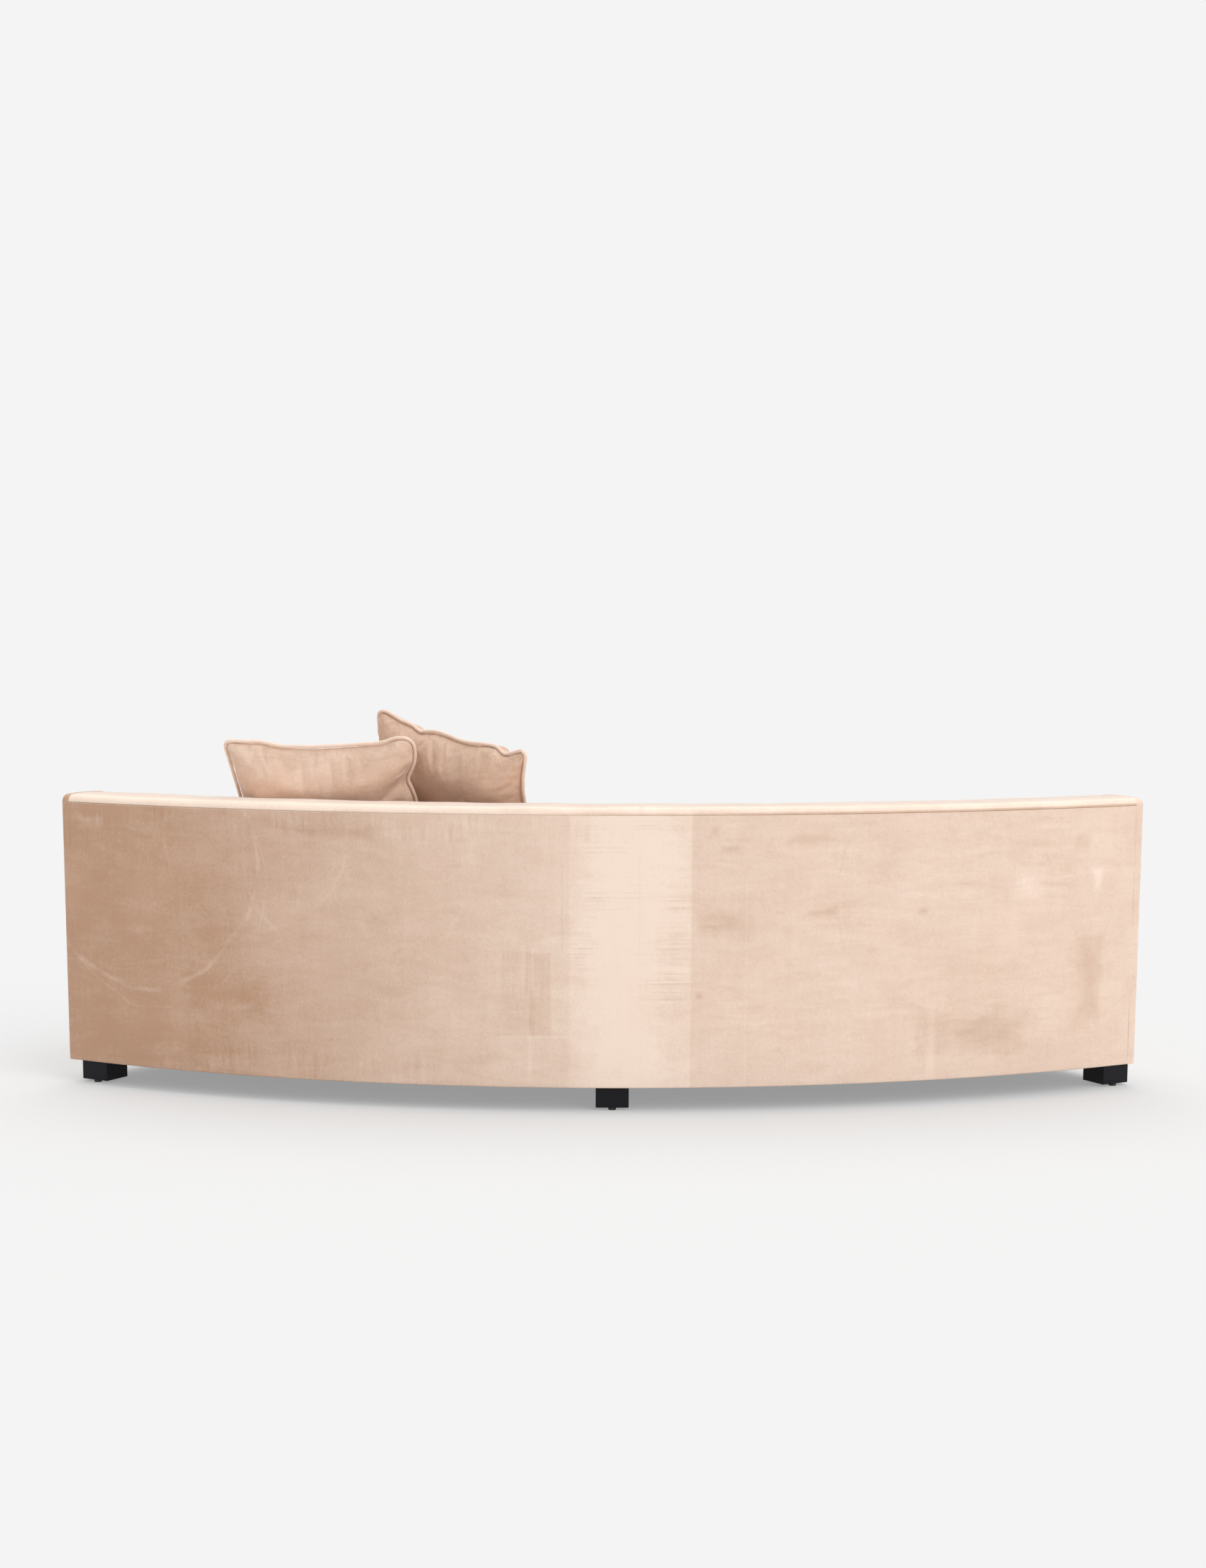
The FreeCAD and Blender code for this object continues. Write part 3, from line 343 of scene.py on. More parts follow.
# Shader helpers
class Nodes:
    """Short ways to add nodes to a material's or a group's tree."""

    def __init__(self, tree):
        self.tree = tree

    def add(self, kind, **values):
        node = self.tree.nodes.new(kind if kind.startswith("Node") else f"ShaderNode{kind}")
        for key, value in values.items():
            setattr(node, key, value)
        return node

    def link(self, source, target):
        self.tree.links.new(source, target)

    def feed(self, socket, value):
        if isinstance(value, bpy.types.NodeSocket):
            self.link(value, socket)
        elif value is not None:
            socket.default_value = value

    def math(self, operation, first, second=None, third=None, clamp=False):
        node = self.add("Math", operation=operation, use_clamp=clamp)
        for socket, value in zip(node.inputs, (first, second, third)):
            self.feed(socket, value)
        return node.outputs[0]

    def mix(self, factor, first, second):
        """Mixes two colours, whose sockets follow those for numbers and vectors."""
        node = self.add("Mix", data_type="RGBA")
        for index, value in zip((0, 6, 7), (factor, first, second)):
            self.feed(node.inputs[index], value)
        return node.outputs[2]

    def vector(self, operation, first, second=None):
        node = self.add("VectorMath", operation=operation)
        self.feed(node.inputs[0], first)
        self.feed(node.inputs[1], second)
        return node.outputs["Value" if operation == "LENGTH" else "Vector"]

    def seen(self):
        """1 for rays that the camera sees, also in a reflection or through glass, and 0 for the others."""
        path = self.add("LightPath")
        seen = self.math("MAXIMUM", path.outputs["Is Camera Ray"], path.outputs["Is Glossy Ray"])
        return self.math("MAXIMUM", seen, path.outputs["Is Transmission Ray"])

    def spread(self, value, low, high, to_low=0.0, to_high=1.0):
        node = self.add("MapRange", interpolation_type="SMOOTHSTEP")
        self.set(node, Value=value, From_Min=low, From_Max=high, To_Min=to_low, To_Max=to_high)
        return node.outputs[0]

    def set(self, node, **values):
        """Feeds sockets by their labels, with _ for a space."""
        for key, value in values.items():
            self.feed(node.inputs[key.replace("_", " ")], value)

    def stretch(self, vector, scale=(1, 1, 1), shift=(0, 0, 0)):
        node = self.add("Mapping")
        self.set(node, Vector=vector, Scale=scale, Location=shift)
        return node.outputs[0]

    def cloud(self, vector, scale, detail=2.0, rough=0.5, distortion=0.0):
        node = self.add("TexNoise")
        self.set(node, Vector=vector, Scale=scale, Detail=detail, Roughness=rough, Distortion=distortion)
        return node.outputs[0]

    def centred(self, value, share):
        """A share of how far a value lies over a half."""
        return self.math("MULTIPLY", self.math("SUBTRACT", value, 0.5), share)

    def group(self, name, **inputs):
        node = self.add("Group")
        node.node_tree = bpy.data.node_groups[name]
        self.set(node, **inputs)
        return node


def new_group(name, inputs, outputs, kind="Float"):
    """A node group whose inputs are numbers where their default is one, and otherwise vectors."""
    group = bpy.data.node_groups.new(name, "ShaderNodeTree")
    for label, default in inputs.items():
        form = "Float" if isinstance(default, float) else "Vector"
        socket = group.interface.new_socket(label, in_out="INPUT", socket_type=f"NodeSocket{form}")
        if default is not None:
            socket.default_value = default
    for label in outputs:
        group.interface.new_socket(label, in_out="OUTPUT", socket_type=f"NodeSocket{kind}")
    nodes = Nodes(group)
    return nodes, nodes.add("NodeGroupInput").outputs, nodes.add("NodeGroupOutput").inputs


def unrolled_group():
    """Object coordinates as seen on the cloth laid flat: metres along the sweep, height, metres from the back."""
    nodes, given, gives = new_group("Laid flat", {"Vector": None}, ["Vector"], "Vector")
    split = nodes.add("SeparateXYZ")
    nodes.link(given["Vector"], split.inputs[0])
    y = nodes.math("SUBTRACT", split.outputs[1], AXIS_Y)
    turn = nodes.math("ARCTAN2", split.outputs[0], y)
    along = nodes.math("MULTIPLY", turn, sizes().outer_radius)
    x_squared = nodes.math("MULTIPLY", split.outputs[0], split.outputs[0])
    squares = nodes.math("ADD", x_squared, nodes.math("MULTIPLY", y, y))
    depth = nodes.math("SUBTRACT", nodes.math("SQRT", squares), sizes().outer_radius)
    join = nodes.add("CombineXYZ")
    for socket, value in zip(join.inputs, (along, split.outputs[2], depth)):
        nodes.link(value, socket)
    nodes.link(join.outputs[0], gives["Vector"])


def soft_box_group():
    """Soft-edged box that marks where the pile was pressed, where creases lie, and where sheen or shade is
    painted: centre, half size, softness of its edges.
    """
    inputs = {"Vector": None, "Centre": (0, 0, 0), "Half size": (0.1, 0.1, 1), "Softness": (0.02, 0.02, 1)}
    nodes, given, gives = new_group("Soft box", {**inputs, "Wander": 0.01}, ["Mask"])
    wander = nodes.cloud(given["Vector"], 9.0, 2.0)
    offset = nodes.centred(wander, given["Wander"])
    shift = nodes.add("CombineXYZ")
    for socket in shift.inputs:
        nodes.link(offset, socket)
    away = nodes.vector("ABSOLUTE", nodes.vector("SUBTRACT", given["Vector"], given["Centre"]))
    moved = nodes.vector("ADD", nodes.vector("SUBTRACT", away, given["Half size"]), shift.outputs[0])
    soft = nodes.vector("DIVIDE", moved, given["Softness"])
    split = nodes.add("SeparateXYZ")
    nodes.link(soft, split.inputs[0])
    furthest = nodes.math("MAXIMUM", split.outputs[0], split.outputs[1])
    nodes.link(nodes.spread(furthest, -0.5, 0.5, 1.0, 0.0), gives["Mask"])


def swept_group():
    """A thin arc that a hand left in the pile: its centre, radius and width on the cloth laid flat."""
    inputs = {"Vector": None, "Centre": (0, 0, 0), "Radius": 0.3, "Width": 0.006}
    nodes, given, gives = new_group("Swept arc", inputs, ["Mask"])
    flat = nodes.vector("MULTIPLY", nodes.vector("SUBTRACT", given["Vector"], given["Centre"]), (1, 1, 0))
    wander = nodes.centred(nodes.cloud(given["Vector"], 6.0), 0.05)
    reach = nodes.math("ADD", nodes.vector("LENGTH", flat), wander)
    off = nodes.math("ABSOLUTE", nodes.math("SUBTRACT", reach, given["Radius"]))
    near = nodes.math("DIVIDE", off, given["Width"])
    breaks = nodes.spread(nodes.cloud(given["Vector"], 11.0), 0.40, 0.62)
    nodes.link(nodes.math("MULTIPLY", nodes.spread(near, 0.0, 1.0, 1.0, 0.0), breaks), gives["Mask"])


def striation_group():
    """Fine crease lines across the pile, long one way, that come and go in patches."""
    nodes, given, gives = new_group("Fine creases", {"Vector": None, "Stretch": (2, 150, 1)}, ["Lines"])
    lines = nodes.cloud(nodes.vector("MULTIPLY", given["Vector"], given["Stretch"]), 1.0, 3.0, 0.7, 0.35)
    patches = nodes.spread(nodes.cloud(given["Vector"], 7.0, 2.0), 0.42, 0.62)
    nodes.link(nodes.centred(lines, patches), gives["Lines"])


def nap_group():
    """How the pile of a velvet lies: patches, brush strokes, fine pile and its height."""
    outputs = ("Patches", "Strokes", "Pile", "Smudges", "Rose", "Height")
    nodes, given, gives = new_group("Velvet nap", {"Vector": None, "Patch scale": 3.0, "Stroke": 1.0}, outputs)
    nodes.link(nodes.cloud(given["Vector"], given["Patch scale"], 3.5, 0.55, 0.7), gives["Patches"])
    strokes = nodes.cloud(nodes.stretch(given["Vector"], (2.4, 9.0, 9.0)), 3.0, 4.0, 0.6, 0.9)
    fine = nodes.cloud(nodes.stretch(given["Vector"], (26.0, 5.0, 26.0)), 2.0, 3.0, 0.6, 0.3)
    both = nodes.math("ADD", nodes.math("MULTIPLY", strokes, 0.7), nodes.math("MULTIPLY", fine, 0.3))
    centred = nodes.math("SUBTRACT", both, 0.5)
    nodes.link(nodes.math("MULTIPLY_ADD", centred, given["Stroke"], 0.5), gives["Strokes"])
    pile = nodes.cloud(given["Vector"], 520.0, 2.0, 0.7)
    clumps = nodes.cloud(nodes.stretch(given["Vector"], (1.3, 0.8, 1.3)), 130.0, 4.0, 0.7, 0.5)
    smudges = nodes.cloud(nodes.stretch(given["Vector"], (0.8, 1.2, 1)), 24.0, 4.0, 0.62, 1.4)
    nodes.link(nodes.spread(smudges, 0.56, 0.76), gives["Smudges"])
    grain = nodes.math("ADD", nodes.math("MULTIPLY", pile, 0.4), nodes.math("MULTIPLY", clumps, 0.6))
    nodes.link(grain, gives["Pile"])
    rose = nodes.cloud(nodes.stretch(given["Vector"], (1, 1, 1), (4.7, 1.3, 2.2)), 4.2, 2.0, 0.5, 0.5)
    nodes.link(rose, gives["Rose"])
    nodes.link(nodes.math("ADD", grain, nodes.math("MULTIPLY", both, 0.8)), gives["Height"])


def material_of(name):
    """A fresh material and its Principled shader."""
    material = bpy.data.materials.new(name)
    material.use_nodes = True
    nodes = Nodes(material.node_tree)
    shader = material.node_tree.nodes["Principled BSDF"]
    return material, nodes, shader


def relief(nodes, shader, height, distance):
    bump = nodes.add("Bump")
    nodes.set(bump, Distance=distance, Strength=0.6, Height=height)
    nodes.link(bump.outputs[0], shader.inputs["Normal"])


# Marks in the pile, and painted sheen and painted shade, on the cloth laid flat: along, height, their halves, soft
# along, soft up, wander, lift
BACK_MARKS_AND_SHEEN = (
    (1.560, 0.40, 0.066, 0.60, 0.014, 0.10, 0.000, 0.30),
    (-0.900, 0.40, 0.672, 0.60, 0.004, 0.10, 0.000, -0.10),
    # The next two marks are painted sheen: a paler band down the outside back.
    (-0.075, 0.40, 0.153, 0.60, 0.004, 0.10, 0.000, 0.07),
    (-0.060, 0.40, 0.085, 0.60, 0.130, 0.10, 0.070, 0.16),
    (-0.180, 0.57, 0.050, 0.12, 0.030, 0.08, 0.060, 0.06),
    (-0.050, 0.32, 0.040, 0.18, 0.060, 0.10, 0.050, 0.08),
    (0.095, 0.52, 0.0015, 0.11, 0.005, 0.02, 0.000, -0.12),
    (0.150, 0.300, 0.028, 0.105, 0.007, 0.010, 0.004, -0.14),
    (0.205, 0.300, 0.042, 0.110, 0.009, 0.010, 0.004, -0.07),
    (0.171, 0.365, 0.003, 0.048, 0.012, 0.02, 0.006, 0.22),
    (0.176, 0.140, 0.003, 0.060, 0.012, 0.03, 0.006, 0.12),
    (0.165, 0.192, 0.082, 0.0015, 0.010, 0.005, 0.000, 0.16),
    (0.123, 0.300, 0.0010, 0.100, 0.004, 0.02, 0.000, 0.10),
    (-0.367, 0.330, 0.0010, 0.250, 0.004, 0.12, 0.000, 0.10),
    (-0.285, 0.712, 0.010, 0.012, 0.026, 0.03, 0.050, -0.36),
    (-0.325, 0.668, 0.020, 0.006, 0.024, 0.02, 0.050, -0.26),
    (-0.251, 0.297, 0.005, 0.005, 0.022, 0.02, 0.020, -0.30),
    (-0.300, 0.480, 0.055, 0.025, 0.060, 0.05, 0.100, -0.16),
    (-0.560, 0.505, 0.030, 0.004, 0.044, 0.02, 0.060, -0.34),
    (-0.480, 0.375, 0.010, 0.010, 0.030, 0.03, 0.030, -0.20),
    (-0.540, 0.690, 0.060, 0.010, 0.050, 0.02, 0.080, -0.16),
    (-0.830, 0.500, 0.008, 0.004, 0.020, 0.02, 0.020, -0.26),
    (-0.098, 0.560, 0.0006, 0.130, 0.003, 0.10, 0.000, -0.22),
    (1.385, 0.702, 0.040, 0.012, 0.040, 0.03, 0.090, 0.20),
    (0.980, 0.270, 0.100, 0.040, 0.080, 0.08, 0.100, -0.16),
    (1.180, 0.150, 0.250, 0.050, 0.100, 0.08, 0.100, -0.08),
    (0.560, 0.480, 0.030, 0.020, 0.060, 0.04, 0.050, -0.12),
    (0.700, 0.700, 0.120, 0.014, 0.080, 0.03, 0.060, -0.14),
    (-1.330, 0.300, 0.030, 0.100, 0.060, 0.10, 0.100, -0.22),
    (-1.290, 0.660, 0.020, 0.012, 0.040, 0.03, 0.060, -0.16),
    (-1.345, 0.560, 0.010, 0.024, 0.030, 0.03, 0.040, 0.30),
    (-1.130, 0.560, 0.030, 0.030, 0.060, 0.05, 0.060, 0.16),
    (-0.980, 0.180, 0.150, 0.040, 0.110, 0.08, 0.140, -0.22),
    (-0.860, 0.170, 0.010, 0.090, 0.020, 0.06, 0.020, 0.14),
)
# Painted shade: darker strips of the top band just above its seam.
BAND_SEAM_SHADE = (
    (-0.900, 0.750, 0.900, 0.0045, 0.400, 0.007, 0.000, -0.40),
    (-1.100, 0.750, 0.700, 0.0060, 0.500, 0.008, 0.002, -0.42),
    (0.250, 0.762, 0.120, 0.0020, 0.100, 0.008, 0.020, -0.12),
    (-0.250, 0.760, 0.080, 0.0030, 0.080, 0.008, 0.020, -0.14),
)
# Arcs that a hand swept: along, height, radius, width, lift
BACK_SWEEPS = (
    (1.240, 0.620, 0.345, 0.010, 0.20),
    (1.200, 0.560, 0.330, 0.005, 0.12),
    (0.900, 0.700, 0.260, 0.007, 0.10),
    (0.620, 0.640, 0.300, 0.008, 0.08),
    (-0.900, 0.540, 0.300, 0.007, -0.07),
)
# Where fine creases lie: stretch of the lines, the zone's place and half size, and their depth
CREASES = (
    ((2.0, 150, 1), (-0.06, 0.50, 0.165, 0.24), 1.10),
    ((150, 3.0, 1), (0.17, 0.30, 0.09, 0.12), 0.70),
    ((70, 5.0, 1), (0.75, 0.715, 0.75, 0.030), 0.90),
    ((60, 6.0, 1), (0.90, 0.100, 0.60, 0.040), 0.60),
    ((9.0, 60, 1), (-0.80, 0.45, 0.55, 0.30), 0.45),
    ((50, 4.0, 1), (1.45, 0.690, 0.06, 0.050), 0.90),
)


def velvet(
    name, tone=0.6, patch=0.22, marks=(), sweeps=(), painted_shade_slope=None, scale=3.0, laid_flat=True, rose=0.35, sheen=0.6
):
    """Velvet: its tone from deep to pale, the patches of its nap, marks in its pile with painted sheen and painted
    shade among them, and a slope of painted shade.
    """
    material, nodes, shader = material_of(name)
    spot = nodes.add("TexCoord").outputs["Object"]
    if laid_flat:
        spot = nodes.group("Laid flat", Vector=spot).outputs[0]
    nap = nodes.group("Velvet nap", Vector=spot, Patch_scale=scale)
    lean = nodes.centred(nap.outputs["Patches"], patch * 1.7)
    for label, weight in (("Strokes", patch * 2.4), ("Pile", 0.70)):
        lean = nodes.math("ADD", lean, nodes.centred(nap.outputs[label], weight))
    lean = nodes.math("MULTIPLY_ADD", nap.outputs["Smudges"], -0.45 * patch, lean)
    level = tone
    # A slope of tone along the sweep, where one is given, is painted shade.
    if painted_shade_slope:
        split = nodes.add("SeparateXYZ")
        nodes.link(spot, split.inputs[0])
        painted_shade_ramp = nodes.add("MapRange")
        nodes.set(painted_shade_ramp, Value=split.outputs[0], **painted_shade_slope)
        level = painted_shade_ramp.outputs[0]
    lean = nodes.math("ADD", lean, level)
    # Marks in the pile, painted sheen and painted shade, each a soft box with a lift.
    for along, height, half_along, half_height, soft_along, soft_up, wander, lift in marks:
        half, soft = (half_along, half_height, 1), (soft_along, soft_up, 1)
        mark = nodes.group(
            "Soft box", Vector=spot, Centre=(along, height, 0), Half_size=half, Softness=soft, Wander=wander
        )
        lean = nodes.math("MULTIPLY_ADD", mark.outputs[0], lift, lean)
    for along, height, radius, width, lift in sweeps:
        arc = nodes.group("Swept arc", Vector=spot, Centre=(along, height, 0), Radius=radius, Width=width)
        lean = nodes.math("MULTIPLY_ADD", arc.outputs[0], lift, lean)
    for stretch, (along, height, half_along, half_height), depth in CREASES if sweeps else ():
        lines = nodes.group("Fine creases", Vector=spot, Stretch=stretch)
        half, soft = (half_along, half_height, 1), (0.05, 0.05, 1)
        zone = nodes.group("Soft box", Vector=spot, Centre=(along, height, 0), Half_size=half, Softness=soft)
        crease = nodes.math("MULTIPLY", lines.outputs[0], zone.outputs[0])
        lean = nodes.math("MULTIPLY_ADD", crease, depth, lean)
    lean = nodes.math("ADD", lean, 0.0, clamp=True)
    deep, pale = (*tones().velvet_deep, 1), (*tones().velvet_pale, 1)
    base = nodes.mix(lean, deep, pale)
    blush = nodes.spread(nap.outputs["Rose"], 0.42, 0.72, 0.0, rose)
    base = nodes.mix(blush, base, nodes.mix(0.35, base, (*tones().velvet_rose, 1)))
    nodes.link(base, shader.inputs["Base Color"])
    nodes.set(shader, Roughness=0.85, Specular_IOR_Level=0.12, Sheen_Weight=sheen, Sheen_Roughness=0.30)
    shader.inputs["Sheen Tint"].default_value = (1.0, 0.93, 0.87, 1)
    relief(nodes, shader, nap.outputs["Height"], 0.0016)
    return material


def grained(name, pale, dark, scale, stretch, rough, distance=0.0004, spec=0.5, metal=0.0, sheen=0.0):
    """A finish whose colour, roughness and relief follow one stretched grain."""
    material, nodes, shader = material_of(name)
    spot = nodes.stretch(nodes.add("TexCoord").outputs["Object"], stretch)
    grain = nodes.cloud(spot, scale, 4.0, 0.6, 0.4)
    broad = nodes.cloud(spot, scale * 0.13, 2.0)
    level = nodes.math("ADD", nodes.math("MULTIPLY", grain, 0.6), nodes.math("MULTIPLY", broad, 0.4))
    nodes.link(nodes.mix(nodes.spread(level, 0.3, 0.7), (*dark, 1), (*pale, 1)), shader.inputs["Base Color"])
    nodes.link(nodes.spread(level, 0.3, 0.7, rough - 0.07, rough + 0.07), shader.inputs["Roughness"])
    nodes.set(shader, Specular_IOR_Level=spec, Metallic=metal, Sheen_Weight=sheen)
    relief(nodes, shader, level, distance)
    return material


# Finishes inside and under the sofa: name, two tones, scale and stretch of the grain, roughness, and what else
METAL = {"distance": 0.0001, "metal": 1.0}
PLAIN_FINISHES = {
    "plywood": ("plywood", (0.62, 0.44, 0.27), (0.42, 0.27, 0.15), 14.0, (1.5, 1.5, 9), 0.7, {}),
    "steel": ("zinc_steel", (0.66, 0.67, 0.70), (0.42, 0.43, 0.46), 220.0, (1, 1, 1), 0.35, METAL),
    "spring": ("spring_steel", (0.34, 0.34, 0.36), (0.16, 0.15, 0.15), 160.0, (1, 1, 1), 0.4, METAL),
    "board": ("hardboard", (0.40, 0.27, 0.17), (0.27, 0.17, 0.10), 90.0, (1, 1, 1), 0.8, {}),
    "platform": ("platform_cloth", (0.60, 0.50, 0.42), (0.44, 0.36, 0.30), 700.0, (1, 1, 1), 0.9, {"sheen": 0.2}),
    "dust": ("dust_cloth", (0.030, 0.030, 0.032), (0.012, 0.012, 0.014), 500.0, (1, 1, 1), 0.9, {"sheen": 0.2}),
    "zip": ("zip_tape", (0.66, 0.50, 0.40), (0.46, 0.33, 0.26), 900.0, (1, 1, 3), 0.7, {}),
    "webbing": ("webbing", (0.42, 0.36, 0.28), (0.20, 0.16, 0.12), 400.0, (1, 1, 4), 0.8, {}),
}
FINISHES = {}


def make_finishes():
    unrolled_group()
    soft_box_group()
    swept_group()
    striation_group()
    nap_group()
    # Painted shade: the outside back's tone deepens along the sweep towards its +X end.
    painted_shade_slope = {"From_Min": 1.20, "From_Max": 0.02, "To_Min": 0.04, "To_Max": 0.80}
    FINISHES["back"] = velvet("velvet_outside_back", marks=BACK_MARKS_AND_SHEEN, sweeps=BACK_SWEEPS, painted_shade_slope=painted_shade_slope)
    # Painted light: the top band is the back's velvet given a paler tone.
    FINISHES["band"] = velvet("velvet_top_band", tone=0.93, marks=BAND_SEAM_SHADE, patch=0.20, scale=7.0, sheen=1.0)
    FINISHES["inside"] = velvet("velvet_inside_back", tone=0.60, patch=0.24)
    FINISHES["front"] = velvet("velvet_front_band", tone=0.56, patch=0.22)
    FINISHES["cushion"] = velvet("velvet_cushion", tone=0.60, patch=0.26, scale=4.0)
    pillow = {"scale": 6.0, "laid_flat": False, "rose": 0.5, "patch": 0.30}
    FINISHES["pillow_left"] = velvet("velvet_pillow_left", tone=0.44, **pillow)
    # Painted shade: the right pillow's velvet is the left pillow's with a deeper tone.
    FINISHES["pillow_right"] = velvet("velvet_pillow_right", tone=0.34, **pillow)
    # Painted highlight: the piping is the pillows' velvet given a far paler tone.
    FINISHES["piping"] = velvet("velvet_piping", sheen=0.8, tone=0.80, patch=0.20, scale=20.0, laid_flat=False)
    thread = tuple(tones().thread)
    FINISHES["thread"] = grained("stitching_thread", thread, tuple(c * 0.7 for c in thread), 900.0, (1, 1, 1), 0.6)
    black = tuple(tones().foot_black)
    FINISHES["foot"] = grained(
        "black_lacquered_wood", tuple(c * 1.6 for c in black), black, 60.0, (6, 6, 0.8), 0.38, 0.00010, spec=0.22
    )
    FINISHES["glide"] = grained("glide_plastic", (0.02, 0.02, 0.022), (0.008, 0.008, 0.009), 300.0, (1, 1, 1), 0.5)
    for key, (name, pale, dark, scale, stretch, rough, extra) in PLAIN_FINISHES.items():
        FINISHES[key] = grained(name, pale, dark, scale, stretch, rough, **extra)


# Outlines of the covers
SEAM_GAP = 0.00005
JOIN_GAP = 0.00001
SEAM_ROUND = 0.0018
HEM_ROUND = 0.0035
BAND_OVER_DECK = 0.05


def lumps(piece, seed, depth, face="out"):
    """Slight swelling of a cover over its padding, none at its seams. It moves only the face that shows."""
    spots, turn, radius = places(piece)
    hold, skin = 0.05, 0.004
    laid = [turn * sizes().outer_radius, spots[:, 2]]
    swell = drift(laid, 0.30, seed) * depth + drift(laid, 0.09, seed + 1) * depth * 0.35
    low, high = spots[:, 2].min(), spots[:, 2].max()
    swell *= smooth_step(spots[:, 2], low, low + hold) * smooth_step(high - spots[:, 2], 0, hold)
    if face == "out":
        push_out(piece, spots, turn, swell * (radius > radius.max() - skin))
    else:
        push_out(piece, spots, turn, -swell * (radius < inner_radius(spots[:, 2]) + skin))


def inner_radius(height):
    s = sizes()
    share = (height - s.deck) / (s.seam - s.deck)
    return s.outer_radius - s.seat_depth + (s.seat_depth - s.top_depth) * share


def outside_section():
    s = sizes()
    r, t, e = s.outer_radius, s.padding, SEAM_ROUND
    low, high, hem = s.under, s.seam - SEAM_GAP, HEM_ROUND
    points = bow((r - hem, low + hem), hem, -90, 0, 5)
    points += line((r, low + hem), (r, high - e), 72)
    points += bow((r - e, high - e), e, 0, 90, 4)
    points += line((r - e, high), (r - t, high), 2)
    points += line((r - t, high), (r - t, low), 12)
    points += line((r - t, low), (r - hem, low), 2)
    return points


def crown_line(count):
    """Top of the back between its two rounded edges, slightly fuller in the middle."""
    s = sizes()
    outer, inner = s.outer_radius - s.crown, s.outer_radius - s.top_depth + s.crown
    middle, half = (outer + inner) / 2, (outer - inner) / 2
    radii = [outer + (inner - outer) * i / count for i in range(count)]
    return [(radius, s.seam + s.crown + 0.0012 * (1 - ((radius - middle) / half) ** 2)) for radius in radii]


def band_section():
    s = sizes()
    outer, inner, e = s.outer_radius, s.outer_radius - s.top_depth, SEAM_ROUND
    low, seam = s.seam + SEAM_GAP, s.seam
    points = bow((outer - e, low + e), e, -90, 0, 4)
    points += bow((outer - s.crown, seam), s.crown, 6, 90, 14)
    points += crown_line(20)
    points += bow((inner + s.crown, seam), s.crown, 90, 174, 14)
    points += bow((inner + e, low + e), e, 180, 270, 4)
    points += line((inner + e, low), (outer - e, low), 6)
    return points


def inside_section():
    s = sizes()
    low, high = s.deck, s.seam - SEAM_GAP
    r_low, r_high = s.outer_radius - s.seat_depth, s.outer_radius - s.top_depth
    t, e = s.padding, SEAM_ROUND
    points = line((r_low, low), (r_high - e * 0.13, high - e), 44)
    points += bow((r_high + e, high - e), e, 180, 90, 4)
    points += line((r_high + e, high), (r_high + t, high), 2)
    points += line((r_high + t, high), (r_low + t, low), 8)
    points += [(r_low + t, low)]
    return points


def front_section():
    s = sizes()
    r, t, e, hem = s.front_radius, 0.008, s.front_round, HEM_ROUND
    end = r + e + BAND_OVER_DECK
    points = bow((r + hem, s.under + hem), hem, 270, 180, 5)
    points += line((r, s.under + hem), (r, s.deck - e), 24)
    points += bow((r + e, s.deck - e), e, 180, 90, 8)
    points += line((r + e, s.deck), (end, s.deck), 3)
    points += [(end, s.deck), (end, s.deck - t)]
    points += bow((r + e, s.deck - e), e - t, 90, 180, 5)
    points += line((r + t, s.deck - e), (r + t, s.under), 8)
    points += [(r + t, s.under)]
    return points


def side_spans():
    """The two covers of a pair: name, low angle, high angle."""
    s = sizes()
    return (("left", s.join + JOIN_GAP, s.cap_start), ("right", -s.cap_start, s.join - JOIN_GAP))


def end_profile():
    """Outline of the whole sofa at its ends, in (radius, height)."""
    s = sizes()
    outer, inner, front = s.outer_radius, s.outer_radius - s.top_depth, s.front_radius
    top, seat = s.seam + s.crown, s.outer_radius - s.seat_depth
    points = line((front, s.under), (outer, s.under), 1)
    points += line((outer, s.under), (outer, s.seam), 1)
    points += bow((outer - s.crown, s.seam), s.crown, 0, 90, 8)
    points += crown_line(20)
    points += bow((inner + s.crown, s.seam), s.crown, 90, 180, 8)
    points += [(inner, s.seam), (seat, s.deck)]
    points += bow((front + s.front_round, s.deck - s.front_round), s.front_round, 90, 180, 7)
    points += [(front, s.deck - s.front_round)]
    return points


# The stage
LIGHT_WORLD = 0.64
FLOOR_GLOW = 0.34
# Soft suns: direction to the lamp, strength, angle it fills
SUNS = (
    (Vector((-0.55, 0.55, 0.63)).normalized(), 1.36, 50),
    (Vector((0.10, -0.35, 0.93)).normalized(), 1.50, 60),
)
CAMERA_PLACE = Vector((-0.05664, 6.9205, 1.27615))
CAMERA_DIP = 0.1598954
CAMERA_TURN = 0.00770775
CAMERA_ROLL = 0.00303206
CAMERA_LENS = 58.80
CAMERA_SHIFT = 0.1463


